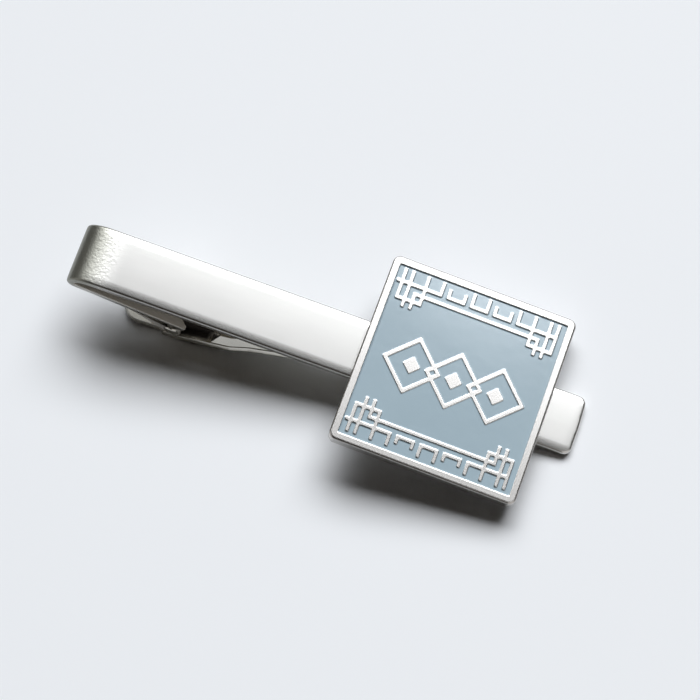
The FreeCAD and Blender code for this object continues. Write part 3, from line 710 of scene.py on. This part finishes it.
def make_lever(finish):
    """Thumb tab, heel and jaw as one bent sheet, with its lugs, lips, ribs and teeth."""
    outline = [(developed(x), -width / 2, radius) for x, width, radius in LEVER_WIDTHS]
    outline += [(developed(x), width / 2, radius) for x, width, radius in reversed(LEVER_WIDTHS)]
    left = PIVOT.x - LUG_RADIUS
    right = PIVOT.x + LUG_RADIUS
    window = [
        (developed(left), -LUG_INSIDE, INNER_CORNER), (developed(left), LUG_INSIDE, INNER_CORNER),
        (developed(right), LUG_INSIDE, INNER_CORNER), (developed(right), -LUG_INSIDE, INNER_CORNER),
    ]
    sheared = edge_profile(-SHEET / 2, SHEET / 2, SHEET_EDGE)[:3]
    sheared += [(0, SHEET / 2 - SHEAR_DROP), (SHEAR_RUN, SHEET / 2)]
    shape = plate([outline, window], sheared)
    score(shape, [developed(point.x) for point in LEVER_PATH[1:-1]], ALONG)
    blank = from_bmesh("jaw_lever_pressed", shape)
    mark_flat(blank)
    path = new_path("lever_path", LEVER_PATH, PATH_SPACING)
    sheet = grown(blank, bending_tree(), finish, Path=path)
    bpy.data.objects.remove(path)

    top = PIVOT.z + LUG_RADIUS
    lug_round = ROUND_SHARE * LUG_RADIUS
    lug = [
        (left, FLOOR_MIDDLE, 0), (FLANGE_END, jaw_middle(FLANGE_END), 0),
        (FLANGE_END, jaw_middle(FLANGE_END) + SHEET, 0),
        (right, top, lug_round), (left, top, lug_round),
    ]
    bore = circle_corners(PIVOT.x, PIVOT.z, PIN_RADIUS + RUN_CLEARANCE)
    below = SHEET / 2 + LIP_DEPTH
    lip_ends = (LIP_START + LIP_RAMP, LIP_END - LIP_RAMP)
    lip = [(LIP_START, jaw_middle(LIP_START), 0)]
    lip += [(x, jaw_middle(x) - below, LIP_RAMP / 2) for x in lip_ends]
    lip.append((LIP_END, jaw_middle(LIP_END), 0))
    folds = []
    for side in (-1, 1):
        for outlines, inside, outside in (
            ([lug, bore], LUG_INSIDE, LUG_OUTSIDE),
            ([lip], JAW_WIDTH / 2 - LIP_THICKNESS, JAW_WIDTH / 2 - SUNK),
        ):
            low, high = sorted((side * inside, side * outside))
            fold = from_bmesh("fold", plate(outlines, edge_profile(low, high, PLATE_EDGE), on_side))
            mark_flat(fold, start=TAB_REACH)
            folds.append(fold)

    tooth_end = JAW_REACH - TOOTH_MARGIN
    first = tooth_end - TOOTH_PITCH * TOOTH_COUNT
    root = PAD_MIDDLE + SHEET / 2
    tooth = [
        (first, PAD_MIDDLE, 0), (first + TOOTH_PITCH, PAD_MIDDLE, 0), (first + TOOTH_PITCH, root, 0),
        (first + TOOTH_PITCH / 2, root + TOOTH_HEIGHT, TOOTH_CREST), (first, root, 0),
    ]
    half_ridge = JAW_TIP_WIDTH / 2 - JAW_TIP_CORNER
    ridge_edge = edge_profile(-half_ridge, half_ridge, PLATE_EDGE)
    ridge = from_bmesh("jaw_teeth", plate([tooth], ridge_edge, on_side))
    mark_flat(ridge, start=TAB_REACH)
    teeth = grown(ridge, teeth_tree(), finish, Count=TOOTH_COUNT, Pitch=TOOTH_PITCH)
    ribs = [make_rib(side) for side in (-1, 1)]
    lever = combined(sheet, folds + ribs + [teeth], "UNION")
    return finished(lever, finish, "lever", ["jaw_lever"])


# Hinge pin and spring

def make_pin(finish):
    """A pin through ears and lugs, with a domed head at each end."""
    steps = 6
    angles = [math.pi / 2 * step / steps for step in range(steps + 1)]
    profile = [
        (max(PIN_HEAD_RADIUS * math.sin(angle), SHARPEST), HALF_BAR + PIN_HEAD_HEIGHT * math.cos(angle))
        for angle in angles
    ]
    profile.append((PIN_RADIUS, HALF_BAR))
    profile += [(radius, -y) for radius, y in reversed(profile)]
    sides = 40
    turns = [2 * math.pi * side / sides for side in range(sides)]
    shape = bmesh.new()
    ends = skin(shape, [
        [PIVOT + Vector((radius * math.cos(turn), y, radius * math.sin(turn))) for turn in turns]
        for radius, y in profile
    ])
    for end in ends:
        fill(shape, [end])
    pin = from_bmesh("pivot_pin_peened", shape)
    return finished(pin, finish, "clip", ["pivot_pin"])


def make_spring(finish):
    """Upper arm under the leg, turns round the pin, lower arm over the thumb tab."""
    drop_room = HEEL_DROP - COIL_RADIUS - WIRE / 2 - SPRING_REST_GAP
    start = math.pi / 2 - LEG_SLOPE
    end = -math.pi / 2 + math.asin(drop_room / SPRING_ARM) - 2 * math.pi * COIL_TURNS
    steps = TURN_STEPS * COIL_TURNS
    coil = []
    for step in range(steps + 1):
        turn = start + (end - start) * step / steps
        y = COIL_SPAN * (step / steps - 0.5)
        coil.append(PIVOT + Vector((COIL_RADIUS * math.cos(turn), y, COIL_RADIUS * math.sin(turn))))
    upper = Vector((math.sin(start), 0, -math.cos(start)))
    lower = Vector((math.sin(end), 0, -math.cos(end)))
    points = [coil[0] - upper * SPRING_ARM] + coil + [coil[-1] + lower * SPRING_ARM]
    path = new_path("torsion_spring_wound", points, PATH_SPACING)
    inputs = {"Wire radius": WIRE / 2, "Sides": WIRE_SIDES}
    spring = grown(path, wire_tree(), finish, **inputs)
    smoothed(spring, TO_ROW, SOFT_CREASE)
    painted(spring, finish)
    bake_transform(spring)
    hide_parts("torsion_spring")
    return spring


# Badge

def fret_y(row, side):
    return side * (BADGE_HEIGHT / 2 - FRET_INSET - row * FRET_ROW_PITCH)


def fret_bars():
    """Low and high corners of the border's lines, in the upper band, side 1, and the lower, side -1."""
    half = FRET_LINE / 2
    bars = []

    def level(row, first, last, side):
        low, high = ((column - FRET_COLUMNS / 2) * FRET_PITCH for column in (first, last))
        y = fret_y(row, side)
        bars.append((low - half, y - half, high + half, y + half))

    def upright(column, first, last, side):
        x = (column - FRET_COLUMNS / 2) * FRET_PITCH
        low = fret_y(last if side > 0 else first, side)
        bars.append((x - half, low, x + half, low + (last - first) * FRET_ROW_PITCH + half))

    for side in (1, -1):
        for column, first, last in FRET_UPRIGHT_SHARES:
            upright(column, first, last, side)
            upright(FRET_COLUMNS - column, first, last, side)
        for row, first, last in FRET_LEVEL_SHARES:
            level(row, first, last, side)
            level(row, FRET_COLUMNS - last, FRET_COLUMNS - first, side)
        for row, first, last in FRET_MIDDLE_SHARES:
            level(row, first, last, side)
        level(0, -FRET_STUB_SHARE, 0, side)
    return bars


def lozenge_bars():
    """Three linked frames with a seed in each, in coordinates that are turned by an eighth of a turn."""
    bars = []
    for place in (-1, 0, 1):
        x = place * LOZENGE_SPACING * DIAGONAL
        out = LOZENGE_RADIUS * DIAGONAL
        seed = LOZENGE_SEED * DIAGONAL
        bars.append((x - seed, -x - seed, x + seed, -x + seed))
        inner = out - LOZENGE_LINE
        bars.append((x - out, -x - out, x + out, -x - inner))
        bars.append((x - out, -x + inner, x + out, -x + out))
        bars.append((x - out, -x - out, x - inner, -x + out))
        bars.append((x + inner, -x - out, x + out, -x + out))
    return bars


def traced(bars):
    """Outlines round overlapping bars, with the metal on the left, as corners of x, y and radius."""
    xs = sorted({round(bar[side], 6) for bar in bars for side in (0, 2)})
    ys = sorted({round(bar[side], 6) for bar in bars for side in (1, 3)})

    def covered(column, row):
        x = (xs[column] + xs[column + 1]) / 2
        y = (ys[row] + ys[row + 1]) / 2
        return any(low_x < x < high_x and low_y < y < high_y for low_x, low_y, high_x, high_y in bars)

    cells = {(i, j) for i in range(len(xs) - 1) for j in range(len(ys) - 1) if covered(i, j)}
    onward = {}
    for i, j in cells:
        ring = [(i, j), (i + 1, j), (i + 1, j + 1), (i, j + 1)]
        beyond = [(i, j - 1), (i + 1, j), (i, j + 1), (i - 1, j)]
        for side in range(4):
            if beyond[side] not in cells:
                onward[ring[side]] = ring[(side + 1) % 4]
    outlines = []
    while onward:
        first = min(onward)
        walk = [first]
        while onward[walk[-1]] != first:
            walk.append(onward[walk[-1]])
        for spot in walk:
            del onward[spot]
        outline = []
        for index, spot in enumerate(walk):
            before = walk[index - 1]
            after = walk[(index + 1) % len(walk)]
            turn = (
                (spot[0] - before[0]) * (after[1] - spot[1])
                - (spot[1] - before[1]) * (after[0] - spot[0])
            )
            if turn:
                radius = LINE_END_CORNER if turn > 0 else LINE_INNER_CORNER
                outline.append((xs[spot[0]], ys[spot[1]], radius))
        outlines.append(outline)
    return outlines


def raised_outlines():
    """Outlines of all the badge's raised lines."""
    lozenges = [
        [((x - y) * DIAGONAL, (x + y) * DIAGONAL - LOZENGE_DROP, radius) for x, y, radius in outline]
        for outline in traced(lozenge_bars())
    ]
    return traced(fret_bars()) + lozenges


def box_corners(width, height, radius):
    return [
        (-width / 2, -height / 2, radius), (width / 2, -height / 2, radius),
        (width / 2, height / 2, radius), (-width / 2, height / 2, radius),
    ]


RECESS = box_corners(BADGE_WIDTH - 2 * RIM, BADGE_HEIGHT - 2 * RIM, RECESS_CORNER)
RECESS_FLOOR = BADGE_THICKNESS - RECESS_DEPTH


def make_badge(finish):
    """A struck plate with a raised rim, fret and lozenges."""
    top = BADGE_THICKNESS
    slack = STRUCK_EDGE * (1 - DIAGONAL)
    rim = [(STRUCK_EDGE, 0), (slack, slack), (0, STRUCK_EDGE)] + arris_profile(top, BADGE_EDGE, steps=8)
    rim.append((BADGE_EDGE + EVEN_MARGIN, top))
    wall = [
        (STRUCK_EDGE + EVEN_MARGIN, top), (STRUCK_EDGE, top), (slack, top - slack), (0, top - STRUCK_EDGE),
        (0, RECESS_FLOOR),
    ]
    shape = bmesh.new()
    rings = drawn(box_corners(BADGE_WIDTH, BADGE_HEIGHT, BADGE_CORNER), rim)
    rings += drawn(RECESS, [(-inset, height) for inset, height in wall])
    back, floor = skin(shape, rings)
    lines = [skin(shape, drawn(outline, reversed(wall))) for outline in raised_outlines()]
    fill(shape, [back])
    fill(shape, [floor] + [low for low, high in lines])
    fill(shape, [high for low, high in lines])
    badge = from_bmesh("badge_struck", shape)
    return finished(badge, finish, "clip", ["badge_plate"], BADGE_TO_ROW)


def make_enamel(finish):
    """Enamel in the field and the closed cells, drawn up a little where it meets the metal."""
    level = RECESS_FLOOR + ENAMEL_DEPTH
    steps = 4
    profile = [(-SUNK, RECESS_FLOOR), (-SUNK, level + MENISCUS_RISE)]
    for step in range(steps + 1):
        share = step / steps
        profile.append((MENISCUS_REACH * share, level + MENISCUS_RISE * (1 - share) ** 2))
    profile.append((MENISCUS_REACH + EVEN_MARGIN, level))
    shape = bmesh.new()
    pools = [skin(shape, drawn(RECESS, profile))]
    for outline in raised_outlines():
        pools.append(skin(shape, drawn(outline, [(-inset, height) for inset, height in profile])))
    for rows in zip(*pools):
        fill(shape, rows)
    cuts = 24
    for way, side in ((ALONG, BADGE_WIDTH), (ACROSS, BADGE_HEIGHT)):
        score(shape, [side * (cut / cuts - 0.5) for cut in range(1, cuts)], way)
    for point in shape.verts:
        if point.co.z > RECESS_FLOOR:
            spread = (1 - (2 * point.co.x / BADGE_WIDTH) ** 2) * (1 - (2 * point.co.y / BADGE_HEIGHT) ** 2)
            point.co.z += ENAMEL_CROWN * spread
    enamel = from_bmesh("enamel_poured", shape)
    return finished(
        enamel, finish, "clip", ["enamel_field", "enamel_cells"], BADGE_TO_ROW, SOFT_CREASE,
    )


def make_solder(finish):
    """Solder between the badge's back and the bar, bulging all round."""
    corners = box_corners(SOLDER_LENGTH, SOLDER_WIDTH, SOLDER_CORNER)
    pad = [(x + BADGE_REACH, y, radius) for x, y, radius in corners]
    profile = [(0, 0), (-SOLDER_BULGE, SOLDER_THICKNESS / 2), (0, SOLDER_THICKNESS)]
    solder = from_bmesh("solder_run", plate([pad], profile))
    return finished(solder, finish, "clip", ["solder_joint"])


# Finishes

def satin_plating():
    """Silver plate over bent strip: finely brushed, with leathery grain where the bend stretched it; the
    bend's darker olive tone is partly dull stretched metal and partly painted shade, and the back face is
    painted darker as shade, most of all under the bar.
    """
    material, tree = new_material("Silver plate, satin brushed")
    flat = add(tree, "ShaderNodeUVMap", uv_map=FLAT)
    # Wider than real brush lines, so that they show
    brush_length = 6.0
    brush_width = 0.09
    brush_depth = 0.0003
    stretched = add(tree, "ShaderNodeMapping", {
        "Vector": flat.outputs[0], "Scale": (1 / brush_length, 1 / brush_width, 1),
    })
    brushing = add(tree, "ShaderNodeTexNoise", {"Vector": stretched.outputs[0], "Scale": 1, "Detail": 3})
    grain_size = 0.3
    grain_depth = 0.021
    grain = add(tree, "ShaderNodeTexNoise", {
        "Vector": flat.outputs[0], "Scale": 1 / grain_size, "Detail": 2, "Roughness": 0.55,
    })
    along = add(tree, "ShaderNodeSeparateXYZ", {0: flat.outputs[0]})
    bend_middle = LEG_LENGTH + BEND_LENGTH / 2
    from_bend = add(tree, "ShaderNodeMath", {0: along.outputs["X"], 1: bend_middle}, operation="SUBTRACT")
    apart = add(tree, "ShaderNodeMath", {0: from_bend.outputs[0]}, operation="ABSOLUTE")
    stretch_and_shade = add(tree, "ShaderNodeMapRange", {
        "Value": apart.outputs[0], "From Min": BEND_LENGTH / 2 - STRETCH_INSIDE,
        "From Max": BEND_LENGTH / 2 + STRETCH_OUTSIDE, "To Min": 1, "To Max": 0,
    }, interpolation_type="SMOOTHSTEP")
    leather = add(tree, "ShaderNodeMath", {
        0: grain.outputs[0], 1: stretch_and_shade.outputs[0],
    }, operation="MULTIPLY")
    leathery = add(tree, "ShaderNodeBump", {
        "Height": leather.outputs[0], "Strength": 1, "Distance": grain_depth * MM,
    })
    brushed = add(tree, "ShaderNodeBump", {
        "Height": brushing.outputs[0], "Strength": 1, "Distance": brush_depth * MM,
        "Normal": leathery.outputs[0],
    })
    satin = add(tree, "ShaderNodeMapRange", {
        "Value": brushing.outputs[0], "To Min": 0.18, "To Max": 0.22,
    })
    roughness = add(tree, "ShaderNodeMapRange", {
        "Value": stretch_and_shade.outputs[0], "To Min": satin.outputs[0], "To Max": 0.36,
    })
    # The darker olive tone at the bend is partly dull stretched metal and partly painted shade
    tone = add(tree, "ShaderNodeMix", {
        "Factor": stretch_and_shade.outputs[0], 6: linear("#DAD9D6"), 7: linear("#8E8E86"),
    }, data_type="RGBA")
    # Painted shade: the back face is darker than the front, darkest under the bar and less dark on the
    # leg's inner face
    depth = add(tree, "ShaderNodeSeparateXYZ", {0: add(tree, "ShaderNodeUVMap", uv_map=DEPTH).outputs[0]})
    back = add(tree, "ShaderNodeMapRange", {
        "Value": depth.outputs["X"], "From Min": -STRIP / 2, "From Max": -STRIP / 4,
        "To Min": 1, "To Max": 0,
    })
    leg = add(tree, "ShaderNodeMapRange", {
        "Value": along.outputs["X"], "From Min": LEG_LENGTH, "From Max": bend_middle,
        "To Min": 1, "To Max": 0,
    })
    back_shade_tone = add(tree, "ShaderNodeMix", {
        "Factor": leg.outputs[0], 6: linear("#8F887C"), 7: linear("#C6C3BC"),
    }, data_type="RGBA")
    back_roughness = add(tree, "ShaderNodeMapRange", {
        "Value": leg.outputs[0], "To Min": 0.42, "To Max": 0.6,
    })
    tone_with_back_shade = add(tree, "ShaderNodeMix", {
        "Factor": back.outputs[0], 6: tone.outputs[2], 7: back_shade_tone.outputs[2],
    }, data_type="RGBA")
    dull = add(tree, "ShaderNodeMapRange", {
        "Value": back.outputs[0], "To Min": roughness.outputs[0], "To Max": back_roughness.outputs[0],
    })
    shader = add(tree, "ShaderNodeBsdfPrincipled", {
        "Base Color": tone_with_back_shade.outputs[2], "Metallic": 1, "Roughness": dull.outputs[0],
        "Normal": brushed.outputs[0],
    })
    add(tree, "ShaderNodeOutputMaterial", {"Surface": shader.outputs[0]})
    return material


def bright_plating():
    """Nickel plate over pressed sheet: bright, softly waved by pressing, with painted shade in the hollow
    behind the hinge.
    """
    material, tree = new_material("Nickel plate, bright pressed")
    place = add(tree, "ShaderNodeTexCoord")
    wave_size = 2.2
    wave_depth = 0.03
    waves = add(tree, "ShaderNodeTexNoise", {
        "Vector": place.outputs["Object"], "Scale": 1 / (wave_size * MM), "Detail": 2,
    })
    bump = add(tree, "ShaderNodeBump", {
        "Height": waves.outputs[0], "Strength": 1, "Distance": wave_depth * MM,
    })
    # Painted shade: a dark, rougher patch in the hollow behind the hinge
    flat = add(tree, "ShaderNodeSeparateXYZ", {0: add(tree, "ShaderNodeUVMap", uv_map=FLAT).outputs[0]})
    from_middle = add(tree, "ShaderNodeMath", {
        0: flat.outputs["X"], 1: developed(HOLLOW_SHADE_MIDDLE),
    }, operation="SUBTRACT")
    along = add(tree, "ShaderNodeMath", {0: from_middle.outputs[0]}, operation="ABSOLUTE")
    across = add(tree, "ShaderNodeMath", {0: flat.outputs["Y"]}, operation="ABSOLUTE")
    hollow_shade = None
    for distance, reach in ((along, HOLLOW_SHADE_LENGTH / 2), (across, JAW_WIDTH / 2 - SHEAR_RUN)):
        inside = add(tree, "ShaderNodeMapRange", {
            "Value": distance.outputs[0], "From Min": reach - HOLLOW_SHADE_FADE, "From Max": reach,
            "To Min": 1, "To Max": 0,
        }, interpolation_type="SMOOTHSTEP")
        if hollow_shade:
            inside = add(tree, "ShaderNodeMath", {
                0: hollow_shade.outputs[0], 1: inside.outputs[0],
            }, operation="MULTIPLY")
        hollow_shade = inside
    tone = add(tree, "ShaderNodeMix", {
        "Factor": hollow_shade.outputs[0], 6: linear("#C2BFB7"), 7: linear("#3C3936"),
    }, data_type="RGBA")
    bright = add(tree, "ShaderNodeMapRange", {"Value": waves.outputs[0], "To Min": 0.14, "To Max": 0.28})
    roughness = add(tree, "ShaderNodeMapRange", {
        "Value": hollow_shade.outputs[0], "To Min": bright.outputs[0], "To Max": 0.5,
    })
    shader = add(tree, "ShaderNodeBsdfPrincipled", {
        "Base Color": tone.outputs[2], "Metallic": 1, "Roughness": roughness.outputs[0],
        "Normal": bump.outputs[0],
    })
    add(tree, "ShaderNodeOutputMaterial", {"Surface": shader.outputs[0]})
    return material


def spring_steel():
    """Drawn music wire: dull grey with fine draw marks."""
    material, tree = new_material("Spring steel, drawn")
    place = add(tree, "ShaderNodeTexCoord")
    # Coarser than real draw marks, so that they show
    mark_size = 0.12
    mark_depth = 0.003
    marks = add(tree, "ShaderNodeTexNoise", {
        "Vector": place.outputs["Object"], "Scale": 1 / (mark_size * MM), "Detail": 2,
    })
    tone = add(tree, "ShaderNodeMix", {
        "Factor": marks.outputs[0], 6: linear("#8E8C88"), 7: linear("#B4B2AE"),
    }, data_type="RGBA")
    bump = add(tree, "ShaderNodeBump", {
        "Height": marks.outputs[0], "Strength": 1, "Distance": mark_depth * MM,
    })
    shader = add(tree, "ShaderNodeBsdfPrincipled", {
        "Base Color": tone.outputs[2], "Metallic": 1, "Roughness": 0.3, "Normal": bump.outputs[0],
    })
    add(tree, "ShaderNodeOutputMaterial", {"Surface": shader.outputs[0]})
    return material


def badge_metal():
    """Die-struck brass under satin silver plate, ground level: a soft sheen with fine specks."""
    material, tree = new_material("Silver plate on struck brass")
    place = add(tree, "ShaderNodeTexCoord")
    speck_size = 0.16
    speck_depth = 0.0006
    specks = add(tree, "ShaderNodeTexNoise", {
        "Vector": place.outputs["Object"], "Scale": 1 / (speck_size * MM), "Detail": 3, "Roughness": 0.6,
    })
    bump = add(tree, "ShaderNodeBump", {
        "Height": specks.outputs[0], "Strength": 1, "Distance": speck_depth * MM,
    })
    roughness = add(tree, "ShaderNodeMapRange", {
        "Value": specks.outputs[0], "To Min": 0.21, "To Max": 0.26,
    })
    shader = add(tree, "ShaderNodeBsdfPrincipled", {
        "Base Color": linear("#C8C6C3"), "Metallic": 1, "Roughness": roughness.outputs[0],
        "Normal": bump.outputs[0],
    })
    add(tree, "ShaderNodeOutputMaterial", {"Surface": shader.outputs[0]})
    return material


def enamel():
    """Poured enamel: an even blue-grey with a wet gloss that ripples a little."""
    material, tree = new_material("Enamel, poured blue-grey")
    place = add(tree, "ShaderNodeTexCoord")
    cloud_size = 9.0
    clouds = add(tree, "ShaderNodeTexNoise", {
        "Vector": place.outputs["Object"], "Scale": 1 / (cloud_size * MM), "Detail": 2,
    })
    tone = add(tree, "ShaderNodeMix", {
        "Factor": clouds.outputs[0], 6: linear("#A3B7C1"), 7: linear("#ACC0CA"),
    }, data_type="RGBA")
    ripple_size = 1.1
    ripple_depth = 0.01
    ripples = add(tree, "ShaderNodeTexNoise", {
        "Vector": place.outputs["Object"], "Scale": 1 / (ripple_size * MM), "Detail": 1,
    })
    bump = add(tree, "ShaderNodeBump", {
        "Height": ripples.outputs[0], "Strength": 1, "Distance": ripple_depth * MM,
    })
    shader = add(tree, "ShaderNodeBsdfPrincipled", {
        "Base Color": tone.outputs[2], "Roughness": 0.16, "IOR": 1.5, "Normal": bump.outputs[0],
        "Coat Weight": 1, "Coat Roughness": 0.12,
    })
    add(tree, "ShaderNodeOutputMaterial", {"Surface": shader.outputs[0]})
    return material


def solder():
    """Soft solder: dull silver, slightly lumpy where it set."""
    material, tree = new_material("Soft solder, as set")
    place = add(tree, "ShaderNodeTexCoord")
    lump_size = 0.3
    lump_depth = 0.02
    lumps = add(tree, "ShaderNodeTexNoise", {
        "Vector": place.outputs["Object"], "Scale": 1 / (lump_size * MM), "Detail": 3,
    })
    bump = add(tree, "ShaderNodeBump", {
        "Height": lumps.outputs[0], "Strength": 1, "Distance": lump_depth * MM,
    })
    shader = add(tree, "ShaderNodeBsdfPrincipled", {
        "Base Color": linear("#C4C4C2"), "Metallic": 1, "Roughness": 0.45, "Normal": bump.outputs[0],
    })
    add(tree, "ShaderNodeOutputMaterial", {"Surface": shader.outputs[0]})
    return material


# Floor, light and camera

def make_floor():
    half = 1.2
    mesh = bpy.data.meshes.new("floor")
    corners = [(-half, -half, 0), (half, -half, 0), (half, half, 0), (-half, half, 0)]
    mesh.from_pydata(corners, [], [(0, 1, 2, 3)])
    floor = new_object("floor", mesh)
    material, tree = new_material("Pale matt table top")
    shader = add(tree, "ShaderNodeBsdfPrincipled", {"Base Color": linear("#F0F2F4"), "Roughness": 0.6})
    add(tree, "ShaderNodeOutputMaterial", {"Surface": shader.outputs[0]})
    mesh.materials.append(material)


def light_room():
    """A dim warm room with one broad window high on the far side; only metal and gloss show its walls."""
    world = bpy.data.worlds.new("Room")
    bpy.context.scene.world = world
    world.use_nodes = True
    tree = world.node_tree
    tree.nodes.clear()
    place = add(tree, "ShaderNodeTexCoord")
    path = add(tree, "ShaderNodeLightPath")
    axes = add(tree, "ShaderNodeSeparateXYZ", {0: place.outputs["Generated"]})
    rise = add(tree, "ShaderNodeMath", {0: axes.outputs["Z"], 1: axes.outputs["Y"]}, operation="ARCTAN2")
    aside = add(tree, "ShaderNodeMath", {0: axes.outputs["X"]}, operation="ARCSINE")

    def between(angle, low, full, last, high):
        """One between the inner two of four angles in degrees, fading to nothing at the outer two."""
        low, full, last, high = (math.radians(degrees) for degrees in (low, full, last, high))
        coming = add(tree, "ShaderNodeMapRange", {
            "Value": angle.outputs[0], "From Min": low, "From Max": full,
        }, interpolation_type="SMOOTHSTEP")
        going = add(tree, "ShaderNodeMapRange", {
            "Value": angle.outputs[0], "From Min": last, "From Max": high, "To Min": 1, "To Max": 0,
        }, interpolation_type="SMOOTHSTEP")
        return add(tree, "ShaderNodeMath", {
            0: coming.outputs[0], 1: going.outputs[0],
        }, operation="MULTIPLY")

    def pane(rises, asides, colour, strength):
        """A patch of light, by its angles up from the far horizon and its angles towards +X."""
        up = between(rise, *rises)
        across = between(aside, *asides)
        share = add(tree, "ShaderNodeMath", {0: up.outputs[0], 1: across.outputs[0]}, operation="MULTIPLY")
        power = add(tree, "ShaderNodeMath", {0: share.outputs[0], 1: strength}, operation="MULTIPLY")
        return add(tree, "ShaderNodeBackground", {"Color": linear(colour), "Strength": power.outputs[0]})

    def mirrored(strength):
        """A strength that only reflections see, so that it leaves the shadows alone."""
        return add(tree, "ShaderNodeMath", {
            0: path.outputs["Is Glossy Ray"], 1: strength,
        }, operation="MULTIPLY").outputs[0]

    panes = [
        pane((32, 44, 64, 72), (-44, -6, 16, 30), "#FAFCFF", 9.1),
        pane((76, 90, 172, 182), (-85, -65, -35, -12), "#E8E6E4", mirrored(0.65)),
        pane((76, 90, 172, 182), (11, 24, 65, 85), "#E8E6E4", mirrored(0.8)),
        pane((150, 158, 172, 182), (-35, -12, 11, 24), "#E8E6E4", mirrored(0.25)),
        pane((-2, 8, 26, 38), (-70, -50, 50, 70), "#E8E6E4", mirrored(0.5)),
        pane((10, 40, 100, 150), (-85, -70, -60, -30), "#D6D5C4", mirrored(0.1)),
        pane((10, 40, 100, 130), (30, 50, 70, 85), "#E2DCDC", mirrored(0.08)),
    ]
    whole = add(tree, "ShaderNodeBackground", {"Color": linear("#17110A"), "Strength": 1})
    for part in panes:
        whole = add(tree, "ShaderNodeAddShader", {0: whole.outputs[0], 1: part.outputs[0]})
    add(tree, "ShaderNodeOutputWorld", {"Surface": whole.outputs[0]})


def aim_camera():
    """Stands the camera where the photograph's four badge edges and two bar ends agree."""
    aim = Vector((1.73, 1.117, 0)) * MM
    distance = 230.9 * MM
    azimuth = math.radians(-29.773)
    elevation = math.radians(70.703)
    roll = math.radians(-11.486)
    level = Vector((math.sin(azimuth), math.cos(azimuth), 0))
    look = level * math.cos(elevation) - Vector((0, 0, math.sin(elevation)))
    lens = bpy.data.cameras.new("Camera")
    lens.lens = 117.03
    lens.sensor_width = 36
    lens.clip_start = 0.01
    camera = new_object("Camera", lens)
    camera.location = aim - look * distance
    camera.rotation_mode = "QUATERNION"
    camera.rotation_quaternion = look.to_track_quat("-Z", "Y") @ Quaternion((0, 0, 1), roll)
    bpy.context.scene.camera = camera


bright = bright_plating()
make_band(satin_plating())
make_lever(bright)
make_pin(bright)
make_spring(spring_steel())
make_badge(badge_metal())
make_enamel(enamel())
make_solder(solder())
make_floor()
light_room()
aim_camera()
bpy.context.scene.view_settings.view_transform = "Standard"
